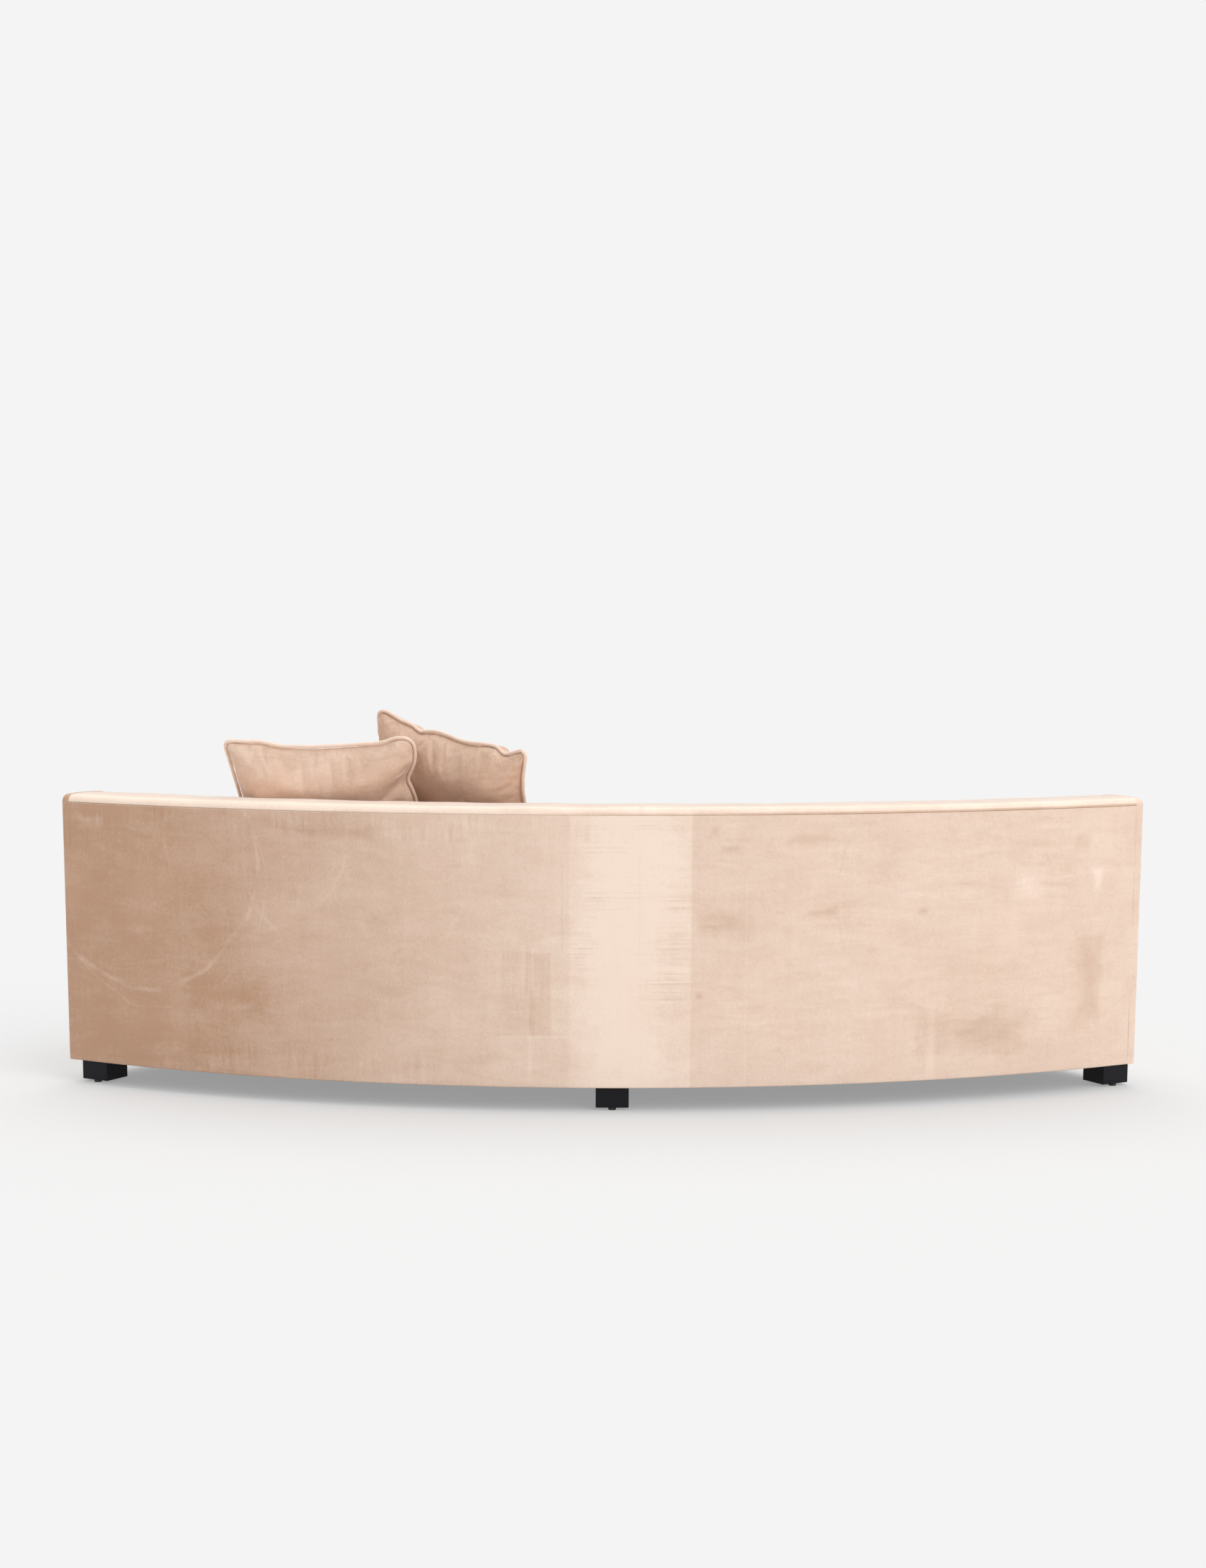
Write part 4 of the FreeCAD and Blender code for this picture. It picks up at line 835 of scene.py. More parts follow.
class SOFA_OT_stage(bpy.types.Operator):
    """Pale floor, plain background, soft lamps and the camera behind the sofa"""

    bl_idname = "sofa.stage"
    bl_label = "Stage"

    def execute(self, context):
        scene = context.scene
        scene.view_settings.view_transform = "Standard"
        self.floor()
        self.surroundings(scene)
        self.camera(scene)
        return {"FINISHED"}

    def floor(self):
        floor = start("stage_floor", bpy.ops.mesh.primitive_plane_add, size=160)
        bpy.ops.object.transform_apply(location=True, rotation=True, scale=True)
        material, nodes, shader = material_of("pale_floor")
        pale = tones().backdrop[0]
        light = LIGHT_WORLD + sum(power * direction[2] / math.pi for direction, power, spread in SUNS)
        shade = pale / light
        grain = nodes.cloud(nodes.add("TexCoord").outputs["Object"], 30.0, 3.0)
        even = nodes.spread(grain, 0.2, 0.8, shade * 0.999, shade * 1.001)
        join = nodes.add("CombineColor")
        for socket in join.inputs[:3]:
            nodes.link(even, socket)
        matt = nodes.add("BsdfDiffuse")
        nodes.link(join.outputs[0], matt.inputs["Color"])
        glow = nodes.add("Emission")
        glow.inputs["Color"].default_value = (*tones().backdrop, 1)
        factor = nodes.math("MULTIPLY", nodes.seen(), FLOOR_GLOW)
        mixed = nodes.add("MixShader")
        for socket, source in zip(mixed.inputs, (factor, matt.outputs[0], glow.outputs[0])):
            nodes.link(source, socket)
        output = material.node_tree.nodes["Material Output"]
        nodes.link(mixed.outputs[0], output.inputs["Surface"])
        material.node_tree.nodes.remove(shader)
        floor.data.materials.append(material)

    def surroundings(self, scene):
        world = bpy.data.worlds.new("soft_white")
        world.use_nodes = True
        nodes = Nodes(world.node_tree)
        background = world.node_tree.nodes["Background"]
        strength = nodes.math("MULTIPLY_ADD", nodes.seen(), tones().backdrop[0] - LIGHT_WORLD, LIGHT_WORLD)
        nodes.link(strength, background.inputs["Strength"])
        background.inputs["Color"].default_value = (1, 1, 1, 1)
        scene.world = world
        for index, (direction, power, spread) in enumerate(SUNS):
            start(f"lamp_{index}", bpy.ops.object.light_add, type="SUN", location=Vector(direction) * 5)
            lamp = bpy.context.object
            lamp.data.energy = power
            lamp.data.angle = math.radians(spread)
            lamp.rotation_euler = Vector(direction).to_track_quat("Z", "Y").to_euler()

    def camera(self, scene):
        start("camera", bpy.ops.object.camera_add, location=CAMERA_PLACE)
        camera = bpy.context.object
        level = math.cos(CAMERA_DIP)
        look = Vector((math.sin(CAMERA_TURN) * level, -math.cos(CAMERA_TURN) * level, -math.sin(CAMERA_DIP)))
        right = look.cross(Vector((0, 0, 1))).normalized()
        up = right.cross(look)
        tilt = Matrix.Rotation(-CAMERA_ROLL, 3, look)
        right, up = tilt @ right, tilt @ up
        rotation = Matrix((right, up, -look)).transposed()
        camera.matrix_world = Matrix.Translation(CAMERA_PLACE) @ rotation.to_4x4()
        camera.data.lens = CAMERA_LENS
        camera.data.sensor_width = 36
        camera.data.sensor_fit = "AUTO"
        camera.data.shift_y = CAMERA_SHIFT
        camera.data.clip_end = 300
        scene.camera = camera


class SOFA_OT_outside_back(bpy.types.Operator):
    """Velvet outside of the back, left and right of its join"""

    bl_idname = "sofa.outside_back"
    bl_label = "Outside back"

    def execute(self, context):
        for name, low, high in side_spans():
            piece = turned(f"outside_back_{name}", outside_section(), low, high, round((high - low) * 290))
            lumps(piece, 3, 0.0016)
            smooth(piece)
            nodes = [f"outside_back_cover_{name}", "outside_back_wadding"]
            dress(piece, FINISHES["back"], "velvet", FRAME_BODY, *nodes, fill=0.9)
        return {"FINISHED"}


class SOFA_OT_top_band(bpy.types.Operator):
    """Padded band over the top of the back, left and right of its join"""

    bl_idname = "sofa.top_band"
    bl_label = "Top band"

    def execute(self, context):
        for name, low, high in side_spans():
            piece = turned(f"top_band_{name}_cover", band_section(), low, high, round((high - low) * 330))
            spots, turn, radius = places(piece)
            laid = [turn * sizes().outer_radius, radius, spots[:, 2].copy()]
            up = smooth_step(spots[:, 2], sizes().seam + 0.004, sizes().seam + 0.018)
            spots[:, 2] += up * (drift(laid, 0.16, 11) * 0.0016 - 0.0004)
            out = smooth_step(radius, sizes().outer_radius - 0.012, sizes().outer_radius) * up
            push_out(piece, spots, turn, drift(laid, 0.10, 12) * 0.0010 * out)
            smooth(piece)
            dress(piece, FINISHES["band"], "velvet", FRAME_BODY, f"top_band_{name}", "top_foam", fill=0.8)
        return {"FINISHED"}


class SOFA_OT_ends(bpy.types.Operator):
    """Rounded, boxed ends"""

    bl_idname = "sofa.ends"
    bl_label = "Ends"

    def execute(self, context):
        s = sizes()
        for name, way in (("left", 1), ("right", -1)):
            seam = way * (s.cap_start + JOIN_GAP)
            end = way * s.half_sweep
            piece = turned(f"end_{name}", end_profile(), min(seam, end), max(seam, end), 1)
            only(piece)
            bpy.ops.object.mode_set(mode="EDIT")
            pick_faces(lambda co: abs(math.atan2(co.x, co.y - AXIS_Y) - seam) < SAME_ANGLE)
            bpy.ops.mesh.delete(type="FACE")
            self.round_rim(end)
            self.cut_grid(end)
            bpy.ops.object.mode_set(mode="OBJECT")
            self.swell(piece, end)
            shell = piece.modifiers.new("Thickness", "SOLIDIFY")
            shell.thickness = 0.003
            shell.offset = -1
            finish_modifiers(piece)
            smooth(piece)
            nodes = (f"end_cover_{name}", f"end_wadding_{name}")
            dress(piece, FINISHES["back"], "velvet", FRAME_BODY, *nodes, fill=0.9)
        return {"FINISHED"}

    def cut_grid(self, end):
        """Divides the flat end by level and radial cuts, so that it can swell."""
        s = sizes()
        level_step, levels, cells = 0.028, 24, 32
        for height in [s.under + HEM_ROUND] + [s.under + level_step * i for i in range(1, levels + 1)]:
            bpy.ops.mesh.select_all(action="SELECT")
            bpy.ops.mesh.bisect(plane_co=(0, 0, height), plane_no=(0, 0, 1))
        out = Vector((math.sin(end), math.cos(end), 0))
        for i in range(1, cells):
            radius = s.front_radius + (s.outer_radius - s.front_radius) * i / cells
            bpy.ops.mesh.select_all(action="SELECT")
            bpy.ops.mesh.bisect(plane_co=Vector((0, AXIS_Y, 0)) + out * radius, plane_no=out)

    def round_rim(self, end):
        """Rounds the edges between the flat end and the covers around it, all but the lowest."""
        bpy.ops.mesh.select_mode(type="EDGE")
        bpy.ops.mesh.select_all(action="DESELECT")
        mesh = bmesh.from_edit_mesh(bpy.context.object.data)
        facing = Vector((math.cos(end), -math.sin(end), 0))
        for edge in mesh.edges:
            flat = [abs(abs(math.atan2(v.co.x, v.co.y - AXIS_Y)) - abs(end)) < SAME_ANGLE for v in edge.verts]
            low = all(v.co.z < sizes().under + SAME_HEIGHT for v in edge.verts)
            sides = [abs(face.normal.dot(facing)) > 0.999 for face in edge.link_faces]
            if all(flat) and not low and len(sides) == 2 and sides[0] != sides[1]:
                edge.select = True
        bmesh.update_edit_mesh(bpy.context.object.data)
        bpy.ops.mesh.bevel(offset=sizes().end_round, segments=6, affect="EDGES", clamp_overlap=False)

    def swell(self, piece, end):
        spots, turn, radius = places(piece)
        normal = np.array([math.cos(end), -math.sin(end), 0]) * math.copysign(1, end)
        depth = spots[:, 0] * normal[0] + (spots[:, 1] - AXIS_Y) * normal[1]
        flat = smooth_step(depth, depth.max() - 0.004, depth.max() - 0.0005)
        move = flat * (drift([radius, spots[:, 2]], 0.22, 21) * 0.0015 + 0.0004)
        spots += normal * move[:, None]
        put(piece, spots)


class SOFA_OT_inside_back(bpy.types.Operator):
    """Padded inside of the back, left and right of its join"""

    bl_idname = "sofa.inside_back"
    bl_label = "Inside back"

    def execute(self, context):
        for name, low, high in side_spans():
            piece = turned(f"inside_back_{name}", inside_section(), low, high, round((high - low) * 230))
            lumps(piece, 31, 0.0022, face="in")
            smooth(piece)
            nodes = [f"inside_back_cover_{name}", "inside_back_foam"]
            dress(piece, FINISHES["inside"], "velvet", FRAME_BODY, *nodes, fill=0.8)
        return {"FINISHED"}


class SOFA_OT_seat_base(bpy.types.Operator):
    """Front band, deck cover and the dust cover under the frame"""

    bl_idname = "sofa.seat_base"
    bl_label = "Seat base"

    def execute(self, context):
        s = sizes()
        front = turned("front_band", front_section(), -s.cap_start, s.cap_start, 220)
        spots, turn, radius = places(front)
        shows = (radius < s.front_radius + 0.003) * smooth_step(spots[:, 2], s.under, s.under + 0.03)
        shows = shows * smooth_step(s.deck - s.front_round - spots[:, 2], 0, 0.03)
        push_out(front, spots, turn, -drift([turn * s.front_radius, spots[:, 2]], 0.2, 41) * 0.0016 * shows)
        smooth(front)
        dress(front, FINISHES["front"], "velvet", FRAME_BODY, "front_band_cover", "front_edge_foam", fill=0.9)
        tuck, thick = 0.002, 0.006
        low, high = s.front_radius + s.front_round + BAND_OVER_DECK, s.outer_radius - s.seat_depth + tuck
        section = line((low, s.deck), (high, s.deck), 30) + [(high, s.deck), (high, s.deck - thick)]
        section += [(low, s.deck - thick)]
        deck = turned("deck", section, -s.cap_start, s.cap_start, 110)
        spots, turn, radius = places(deck)
        sag = 0.0012 + drift([turn * s.front_radius, radius], 0.2, 42) * 0.001
        spots[:, 2] -= (spots[:, 2] > s.deck - 0.001) * sag
        put(deck, spots)
        smooth(deck)
        dress(deck, FINISHES["platform"], "platform_cloth", FRAME_BODY, "deck_cover", "deck_foam", fill=0.8)
        self.dust_cover()
        return {"FINISHED"}

    def dust_cover(self):
        s = sizes()
        low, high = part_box("dust_cover")
        inset, end_inset = 0.003, 0.010
        r_low, r_high = s.front_radius + inset, s.outer_radius - inset
        reach = s.half_sweep - end_inset / s.front_radius
        section = line((r_low, low.z), (r_high, low.z), 40) + [(r_high, low.z), (r_high, high.z), (r_low, high.z)]
        piece = turned("dust_cloth_cover", section, -reach, reach, 130)
        spots, turn, radius = places(piece)
        spots[:, 2] += drift([turn * s.front_radius, radius], 0.12, 43) * 0.0003
        put(piece, spots)
        smooth(piece)
        dress(piece, FINISHES["dust"], "dust_cloth", FRAME_BODY, "dust_cover")


STITCH_PITCH = 0.0044
STITCH_OFF_SEAM = 0.0024
STITCH_OFF_JOIN = 0.0030


class SOFA_OT_stitching(bpy.types.Operator):
    """Rows of topstitching along the seam under the top band and down its join"""

    bl_idname = "sofa.stitching"
    bl_label = "Topstitching"

    def execute(self, context):
        s = sizes()
        stitch = start("stitch", bpy.ops.mesh.primitive_uv_sphere_add, segments=6, ring_count=4, radius=0.0006)
        bpy.ops.object.mode_set(mode="EDIT")
        bpy.ops.transform.resize(value=(2.9, 1, 1), center_override=(0, 0, 0))
        bpy.ops.object.mode_set(mode="OBJECT")
        stands = []
        pitch = STITCH_PITCH / s.outer_radius
        first, last = 0.004, s.half_sweep - 0.007
        for height in (s.seam - STITCH_OFF_SEAM, s.seam + STITCH_OFF_SEAM):
            for way in (1, -1):
                turn = s.join + way * first
                while abs(turn) < last:
                    stands.append(self.stand(turn, s.outer_radius, height))
                    turn += way * pitch
        stands += self.join_rows()
        rows = copies("topstitching", stitch, stands)
        dress(rows, FINISHES["thread"], "velvet", FRAME_BODY)
        return {"FINISHED"}

    def join_rows(self):
        """Stitches over the top band on both sides of its join."""
        s = sizes()
        path = [(s.outer_radius, s.seam + 0.004)]
        path += bow((s.outer_radius - s.crown, s.seam), s.crown, 12, 90, 14) + crown_line(20)
        path += bow((s.outer_radius - s.top_depth + s.crown, s.seam), s.crown, 90, 168, 14)
        even = smooth_path(path, 44)
        stands = []
        for side in (-1, 1):
            turn = s.join + side * STITCH_OFF_JOIN / s.outer_radius
            for here, there in zip(even[:-1], even[1:]):
                rise = math.atan2(there[1] - here[1], there[0] - here[0])
                lay = Matrix.Rotation(rise, 4, "X") @ Matrix.Rotation(math.pi / 2, 4, "Z")
                stands.append(self.stand(turn, here[0], here[1]) @ lay)
        return stands

    def stand(self, turn, radius, height):
        spin = Matrix.Rotation(-turn, 4, "Z")
        return Matrix.Translation((0, AXIS_Y, height)) @ spin @ Matrix.Translation((0, radius, 0))


class SOFA_OT_feet(bpy.types.Operator):
    """Finishes of the feet, glides and the frame inside"""

    bl_idname = "sofa.feet"
    bl_label = "Feet and frame finishes"

    def execute(self, context):
        finishes = {
            "foot": [f"foot_{row}_{place}" for row in ("rear", "front") for place in ("left", "middle", "right")],
            "glide": ("foot_glides",),
            "plywood": (
                "base_back_plate", "base_front_plate", "front_rail", "rear_seat_rail", "cross_rails", "back_posts",
                "back_top_plate", "end_board_left", "end_board_right",
            ),
            "board": ("outside_back_board",),
            "spring": ("seat_springs", "spring_clips"),
            "steel": ("hanger_bolts", "tee_nuts"),
            "webbing": ("back_webbing", "spring_insulator"),
            "zip": ("seat_cushion_left_zip", "seat_cushion_right_zip"),
        }
        for finish, names in finishes.items():
            for name in names:
                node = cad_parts[name]
                node.data.materials.clear()
                node.data.materials.append(FINISHES[finish])
        return {"FINISHED"}


# Outlines of the pillows in their own plane, in millimetres, from the upper corner at +X and round
PILLOW_FOOT = (
    (-252, -236), (-240, -252), (-180, -250), (-90, -243), (0, -241), (90, -243), (180, -250), (240, -254),
    (253, -240),
)
PILLOWS = {
    "left": {
        "centre": (0.706, 0.19, 0.69),
        "turns": (5.7, 26.0, -1.9),
        "top": (
            (252, 256), (240, 263), (218, 262), (190, 260), (156, 258), (122, 250), (94, 244), (32, 241),
            (-25, 241), (-82, 243), (-139, 246), (-164, 250), (-185, 257), (-203, 261), (-226, 259),
            (-240, 250),
        ),
        "side": (
            (-240, 250), (-247, 238), (-249, 222), (-247, 200), (-242, 180), (-233, 160), (-224, 143),
            (-221, 131), (-226, 114), (-232, 90), (-236, 60), (-239, 0), (-240, -90), (-247, -180),
            (-252, -236),
        ),
        "foot": PILLOW_FOOT,
        "edge": (
            (253, -240), (250, -180), (243, -90), (241, 0), (241, 90), (249, 160), (255, 215), (257, 242),
            (252, 256),
        ),
    },
    "right": {
        "centre": (0.364, 0.182, 0.7235),
        "turns": (40.7, 23.4, 11.7),
        "top": (
            (254, 240), (240, 248), (222, 249), (200, 244), (176, 238), (137, 231), (121, 222), (109, 218),
            (95, 223), (57, 232), (6, 231), (-42, 227), (-107, 237), (-150, 240), (-166, 231), (-175, 226),
            (-190, 230), (-210, 239), (-233, 250),
        ),
        "side": (
            (-233, 250), (-247, 240), (-248, 222), (-240, 190), (-234, 160), (-228, 92), (-238, 0),
            (-241, -90), (-248, -180), (-252, -236),
        ),
        "foot": PILLOW_FOOT,
        "edge": (
            (253, -240), (250, -180), (243, -90), (241, 0), (243, 60), (257, 120), (265, 160), (264, 205),
            (260, 228), (254, 240),
        ),
    },
}
PILLOW_CELLS = 92
PILLOW_THICK = 0.0745
PILLOW_HALF = 0.249
DOME_SQUARENESS = 3.2


def smooth_path(points, count):
    """Evenly spaced points on a smooth line through the given ones."""
    given = np.array(points, dtype=float)
    padded = np.vstack([2 * given[0] - given[1], given, 2 * given[-1] - given[-2]])
    fine = []
    for i in range(1, len(padded) - 2):
        p0, p1, p2, p3 = padded[i - 1 : i + 3]
        for t in np.linspace(0, 1, 24, endpoint=False):
            square = (2 * p0 - 5 * p1 + 4 * p2 - p3) * t**2
            cube = (3 * p1 - p0 - 3 * p2 + p3) * t**3
            fine.append(0.5 * (2 * p1 + (p2 - p0) * t + square + cube))
    fine.append(given[-1])
    fine = np.array(fine)
    gone = np.concatenate([[0], np.cumsum(np.linalg.norm(np.diff(fine, axis=0), axis=1))])
    wanted = np.linspace(0, gone[-1], count)
    return np.column_stack([np.interp(wanted, gone, fine[:, k]) for k in range(fine.shape[1])])


def pillow_axes(turn, lean, roll):
    """Columns: the pillow's width, its height and the way from its back to its front."""
    turn, lean, roll = (math.radians(a) for a in (turn, lean, roll))
    wide = np.array([math.cos(turn), -math.sin(turn), 0])
    out = np.array([math.sin(turn), math.cos(turn), 0])
    up = np.array([0, 0, 1]) * math.cos(lean) + out * math.sin(lean)
    back = out * math.cos(lean) - np.array([0, 0, 1]) * math.sin(lean)
    return np.column_stack(
        [wide * math.cos(roll) + up * math.sin(roll), up * math.cos(roll) - wide * math.sin(roll), -back]
    )


def inwards(closed, step):
    """A closed flat outline drawn in by a step."""
    ahead = np.roll(closed, -1, axis=0) - np.roll(closed, 1, axis=0)
    ahead /= np.linalg.norm(ahead, axis=1)[:, None]
    normal = np.column_stack([-ahead[:, 1], ahead[:, 0]])
    area = np.sum(closed[:, 0] * np.roll(closed[:, 1], -1) - np.roll(closed[:, 0], -1) * closed[:, 1])
    return closed + normal * step * math.copysign(1, area)


class SOFA_OT_pillows(bpy.types.Operator):
    """Throw pillows with piping, standing behind the top of the back"""

    bl_idname = "sofa.pillows"
    bl_label = "Throw pillows"

    def execute(self, context):
        for index, (name, shape) in enumerate(PILLOWS.items()):
            axes, centre = pillow_axes(*shape["turns"]), np.array(shape["centre"])
            sides = [smooth_path(shape[key], PILLOW_CELLS + 1) / 1000 for key in ("top", "side", "foot", "edge")]
            outline = np.concatenate([side[:-1] for side in sides])
            seam = inwards(outline, sizes().piping * 2 - 0.0004)
            bend = drift(outline.T, 0.11, 51 + index) * 0.0035
            piece = self.cover(name, seam, bend)
            inflate(piece, range(4 * PILLOW_CELLS), pressure=5.0, grow=0.035, cap=0.03)
            self.pucker(piece, index)
            self.fit(piece)
            spots = places(piece)[0]
            put(piece, spots @ axes.T + centre)
            rounder = piece.modifiers.new("Rounder", "SUBSURF")
            rounder.levels = rounder.render_levels = 1
            finish_modifiers(piece)
            smooth(piece, 60)
            body = f"pillow_{name}"
            nodes = (f"{body}_cover", f"{body}_insert")
            dress(piece, FINISHES[body], "pillow_velvet", body, *nodes, fill=0.7)
            middle = inwards(outline, sizes().piping)
            path = np.column_stack([middle, bend]) @ axes.T + centre
            welt = tube(f"{body}_welt", path, sizes().piping)
            dress(welt, FINISHES["piping"], "pillow_velvet", body, f"{body}_piping")
        return {"FINISHED"}

    def fit(self, piece):
        """Keeps the filled case to the pillow's thickness."""
        spots = places(piece)[0]
        full = np.abs(spots[:, 2])
        limit = PILLOW_THICK - 0.001
        knee = 0.8 * limit
        over = np.clip(full - knee, 0, None)
        room = limit - knee
        spots[:, 2] = np.sign(spots[:, 2]) * np.where(full > knee, knee + room * np.tanh(over / room), full)
        put(piece, spots)

    def cover(self, name, seam, bend):
        """Two panels, sewn together along the seam."""
        n = PILLOW_CELLS
        loop = np.column_stack([seam, bend])
        corners = [k * n for k in range(4)]
        top, side, foot, edge = (np.vstack([loop[at : at + n], loop[(at + n) % (4 * n)]]) for at in corners)
        # u runs from +X to -X along the top, v from the top down
        left, low = edge[::-1], foot[::-1]
        u = np.linspace(0, 1, n + 1)[:, None, None]
        v = np.linspace(0, 1, n + 1)[None, :, None]
        flat = (1 - v) * top[:, None, :] + v * low[:, None, :] + (1 - u) * left[None, :, :] + u * side[None, :, :]
        flat -= (1 - u) * (1 - v) * top[0] + u * (1 - v) * top[-1] + (1 - u) * v * low[0] + u * v * low[-1]
        x, y = np.abs(2 * u[..., 0] - 1), np.abs(2 * v[..., 0] - 1)
        dome = np.sqrt(np.clip((1 - x**DOME_SQUARENESS) * (1 - y**DOME_SQUARENESS), 0, 1)) * PILLOW_THICK * 0.86
        rim = [(i, 0) for i in range(n)] + [(n, j) for j in range(n)]
        rim += [(i, n) for i in range(n, 0, -1)] + [(0, j) for j in range(n, 0, -1)]
        ids = {(0, i, j): index for index, (i, j) in enumerate(rim)}
        spots, faces = [flat[i, j] for i, j in rim], []
        for panel, way in enumerate((1, -1)):
            for i in range(n + 1):
                for j in range(n + 1):
                    if i in (0, n) or j in (0, n):
                        ids[panel, i, j] = ids[0, i, j]
                        continue
                    ids[panel, i, j] = len(spots)
                    spots.append(flat[i, j] + np.array([0, 0, way * dome[i, j]]))
            for i in range(n):
                for j in range(n):
                    face = [ids[panel, i, j], ids[panel, i + 1, j], ids[panel, i + 1, j + 1], ids[panel, i, j + 1]]
                    faces.append(face if way < 0 else face[::-1])
        mesh = bpy.data.meshes.new(f"pillow_{name}_case")
        mesh.from_pydata([tuple(spot) for spot in spots], [], faces)
        piece = bpy.data.objects.new(f"pillow_{name}_case", mesh)
        bpy.context.scene.collection.objects.link(piece)
        only(piece)
        bpy.ops.object.mode_set(mode="EDIT")
        bpy.ops.mesh.select_all(action="SELECT")
        bpy.ops.mesh.normals_make_consistent(inside=False)
        bpy.ops.object.mode_set(mode="OBJECT")
        return piece

    def pucker(self, piece, index):
        """Gathers that run in from the seam."""
        spots, turn, radius = places(piece)
        x, y, z = spots.T
        side = np.sign(z)
        gap_x, gap_y = PILLOW_HALF - np.abs(x), PILLOW_HALF - np.abs(y)
        reach = 0.050 + 0.035 * index
        for along, gap, seed in ((x, gap_y, 61), (y, gap_x, 62)):
            lean = along + 0.25 * gap * np.sin(along * 13 + seed)
            wave = [lean / 0.016, gap / 0.12, side * 3 + seed + index]
            ripple = -np.abs(drift(wave, 1.0, seed)) * 1.6 + 0.4
            patchy = smooth_step(drift([along, side * 0.7, side], 0.09, seed + 2), -0.35, 0.35)
            fade = np.exp(-np.clip(gap, 0, None) / reach) * smooth_step(gap, 0.004, 0.024) * (0.25 + 0.75 * patchy)
            spots[:, 2] += side * ripple * (0.0045 + 0.0025 * index) * fade
        broad = drift([x, y, side * 0.4], 0.13, 63 + index)
        spots[:, 2] += side * broad * 0.004 * smooth_step(np.minimum(gap_x, gap_y), 0.02, 0.09)
        put(piece, spots)


# How far a seat cushion stays off the front edge, the inside back and the middle, which is an angle
CUSHION_FRONT = 0.004
CUSHION_BACK = 0.010
CUSHION_MIDDLE = 0.0003


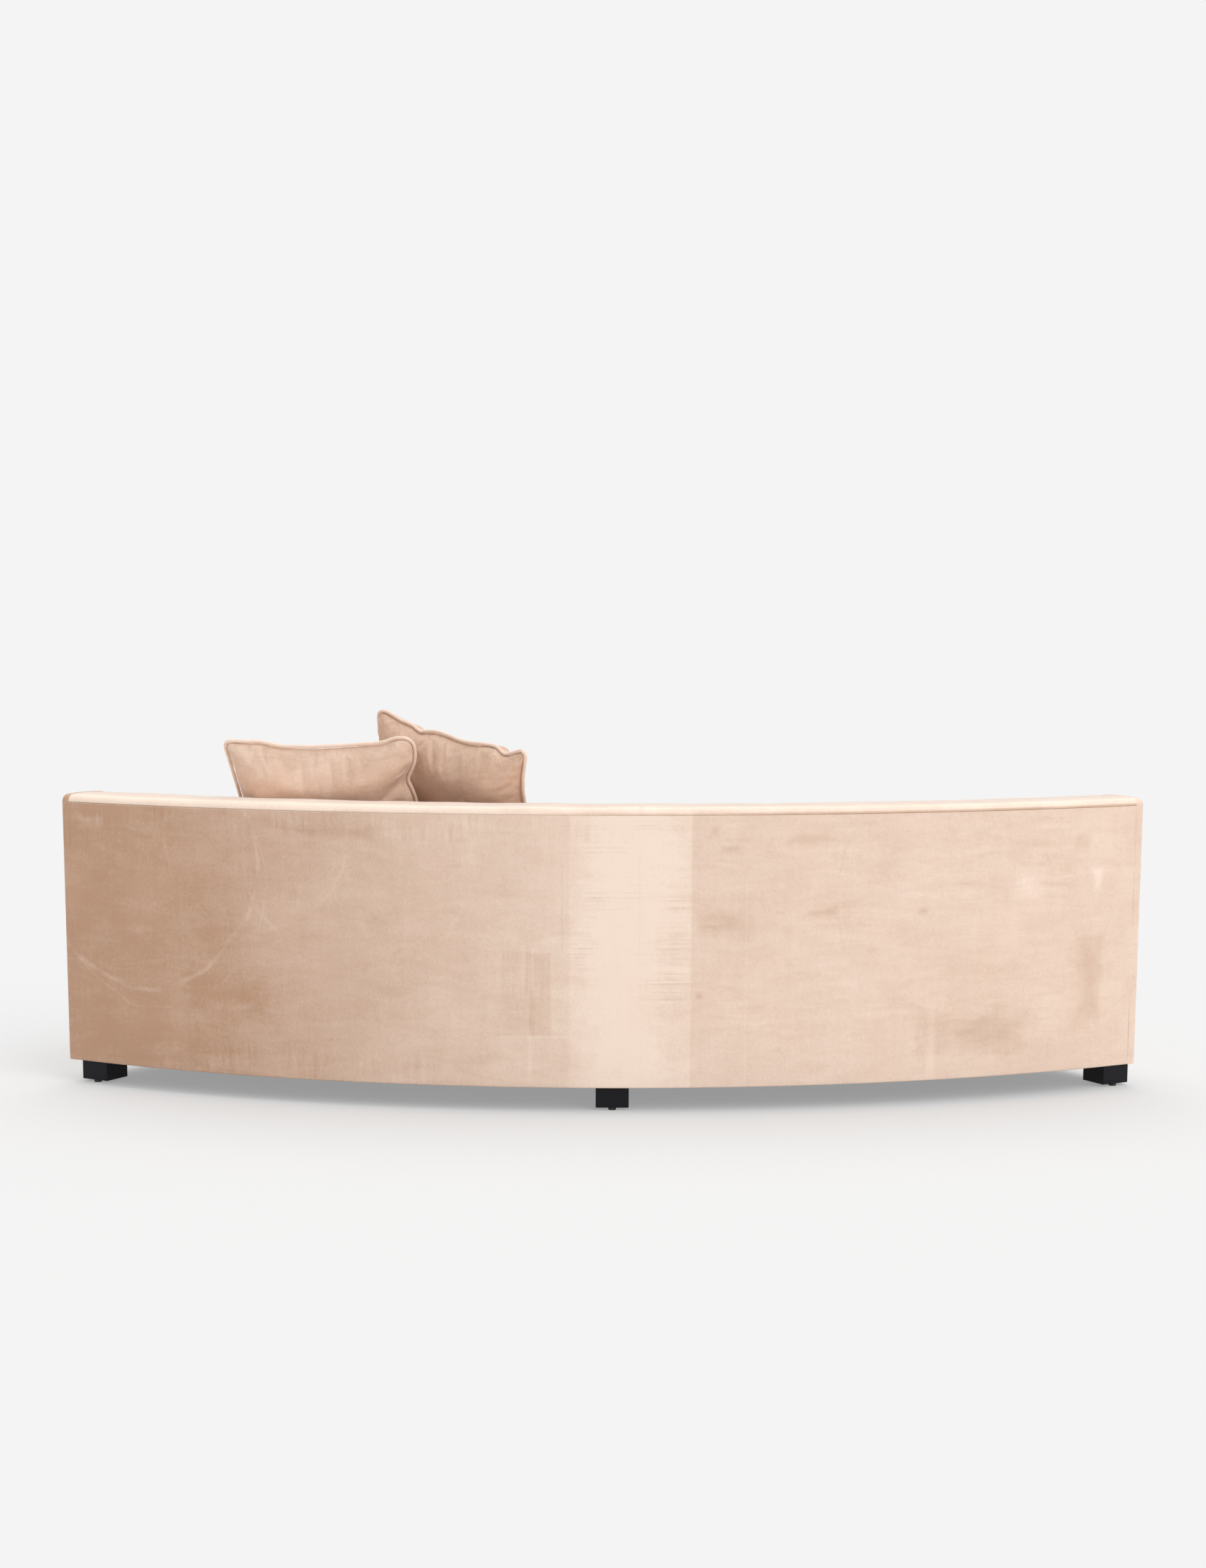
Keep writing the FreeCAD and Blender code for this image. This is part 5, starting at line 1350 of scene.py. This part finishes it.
class SOFA_OT_seat_cushions(bpy.types.Operator):
    """Two loose boxed seat cushions"""

    bl_idname = "sofa.seat_cushions"
    bl_label = "Seat cushions"

    def execute(self, context):
        s = sizes()
        reach = s.half_sweep - CUSHION_MIDDLE
        for name, low, high in (("left", CUSHION_MIDDLE, reach), ("right", -reach, -CUSHION_MIDDLE)):
            piece = turned(f"seat_cushion_{name}", self.section(), low, high, 90)
            remesh = piece.modifiers.new("Remesh", "REMESH")
            remesh.mode = "VOXEL"
            remesh.voxel_size = 0.011
            finish_modifiers(piece)
            spots = places(piece)[0]
            bottom, seam = s.deck + 0.004, s.cushion_top - 0.020
            edges = np.flatnonzero((spots[:, 2] < bottom) | self.seam_line(piece, low, high, seam))
            inflate(piece, edges, pressure=2.0, grow=0.0, cap=0.012)
            self.crown(piece, low, high)
            rounder = piece.modifiers.new("Rounder", "SUBSURF")
            rounder.levels = rounder.render_levels = 1
            finish_modifiers(piece)
            smooth(piece, 80)
            body = f"seat_cushion_{name}"
            dress(piece, FINISHES["cushion"], "velvet", body, f"{body}_cover", f"{body}_foam", fill=0.85)
        return {"FINISHED"}

    def section(self):
        s = sizes()
        low, high = s.deck + 0.0015, s.cushion_top - 0.016
        r_low, r_high, e = s.front_radius + CUSHION_FRONT, s.outer_radius - s.seat_depth - CUSHION_BACK, 0.012
        points = bow((r_high - e, low + e), e, -90, 0, 4) + line((r_high, low + e), (r_high, high - e), 8)
        points += bow((r_high - e, high - e), e, 0, 90, 4) + line((r_high - e, high), (r_low + e, high), 40)
        points += bow((r_low + e, high - e), e, 90, 180, 4) + line((r_low, high - e), (r_low, low + e), 8)
        points += bow((r_low + e, low + e), e, 180, 270, 4) + line((r_low + e, low), (r_high - e, low), 40)
        return points

    def seam_line(self, piece, low, high, height):
        """The vertices near the seam between the top and the boxing."""
        s = sizes()
        spots, turn, radius = places(piece)
        back = s.outer_radius - s.seat_depth - CUSHION_BACK
        across = np.minimum(radius - s.front_radius - CUSHION_FRONT, back - radius)
        along = np.minimum(turn - low, high - turn) * radius
        return (np.abs(spots[:, 2] - height) < 0.010) & (np.minimum(across, along) < 0.012)

    def crown(self, piece, low, high):
        s = sizes()
        spots, turn, radius = places(piece)
        spots[:, 2] = np.maximum(spots[:, 2], s.deck + 0.0012)
        reach_in, reach_out = s.front_radius - 0.001, s.outer_radius - s.seat_depth - 0.0075
        near = np.clip(radius, reach_in, reach_out) / radius
        spots[:, 0] *= near
        spots[:, 1] = AXIS_Y + (spots[:, 1] - AXIS_Y) * near
        kept = np.clip(turn, low, high) - turn
        shift = kept * radius
        spots[:, 0] += np.cos(turn) * shift
        spots[:, 1] -= np.sin(turn) * shift
        u = np.clip((turn - low) / (high - low), 0, 1) * 2 - 1
        v = np.clip((radius - s.front_radius) / (s.outer_radius - s.seat_depth - s.front_radius), 0, 1) * 2 - 1
        dome = np.clip((1 - np.abs(u) ** 3) * (1 - np.abs(v) ** 3), 0, 1)
        up = smooth_step(spots[:, 2], s.deck + 0.08, s.deck + 0.13)
        spots[:, 2] += up * (dome * 0.010 + drift([turn * s.outer_radius, radius], 0.18, 71) * 0.002)
        spots[:, 2] = np.minimum(spots[:, 2], s.cushion_top + 0.0025)
        put(piece, spots)


OPERATORS = (
    SOFA_OT_stage,
    SOFA_OT_outside_back,
    SOFA_OT_top_band,
    SOFA_OT_ends,
    SOFA_OT_inside_back,
    SOFA_OT_seat_base,
    SOFA_OT_stitching,
    SOFA_OT_feet,
    SOFA_OT_pillows,
    SOFA_OT_seat_cushions,
)


class SOFA_PT_panel(bpy.types.Panel):
    """Lists the steps that build the sofa"""

    bl_idname = "SOFA_PT_panel"
    bl_label = "Sofa"
    bl_space_type = "VIEW_3D"
    bl_region_type = "UI"
    bl_category = "Sofa"

    def draw(self, context):
        for operator in OPERATORS:
            self.layout.operator(operator.bl_idname)
        for group in (context.scene.sofa_sizes, context.scene.sofa_colours):
            for key in group.__annotations__:
                self.layout.prop(group, key)


CLASSES = (SofaSizes, SofaColours, *OPERATORS, SOFA_PT_panel)


def register():
    for item in CLASSES:
        bpy.utils.register_class(item)
    bpy.types.Scene.sofa_sizes = bpy.props.PointerProperty(type=SofaSizes)
    bpy.types.Scene.sofa_colours = bpy.props.PointerProperty(type=SofaColours)


def unregister():
    del bpy.types.Scene.sofa_colours
    del bpy.types.Scene.sofa_sizes
    for item in reversed(CLASSES):
        bpy.utils.unregister_class(item)


def main():
    register()
    make_finishes()
    for operator in OPERATORS:
        group, action = operator.bl_idname.split(".")
        getattr(getattr(bpy.ops, group), action)()


if __name__ == "__main__":
    main()
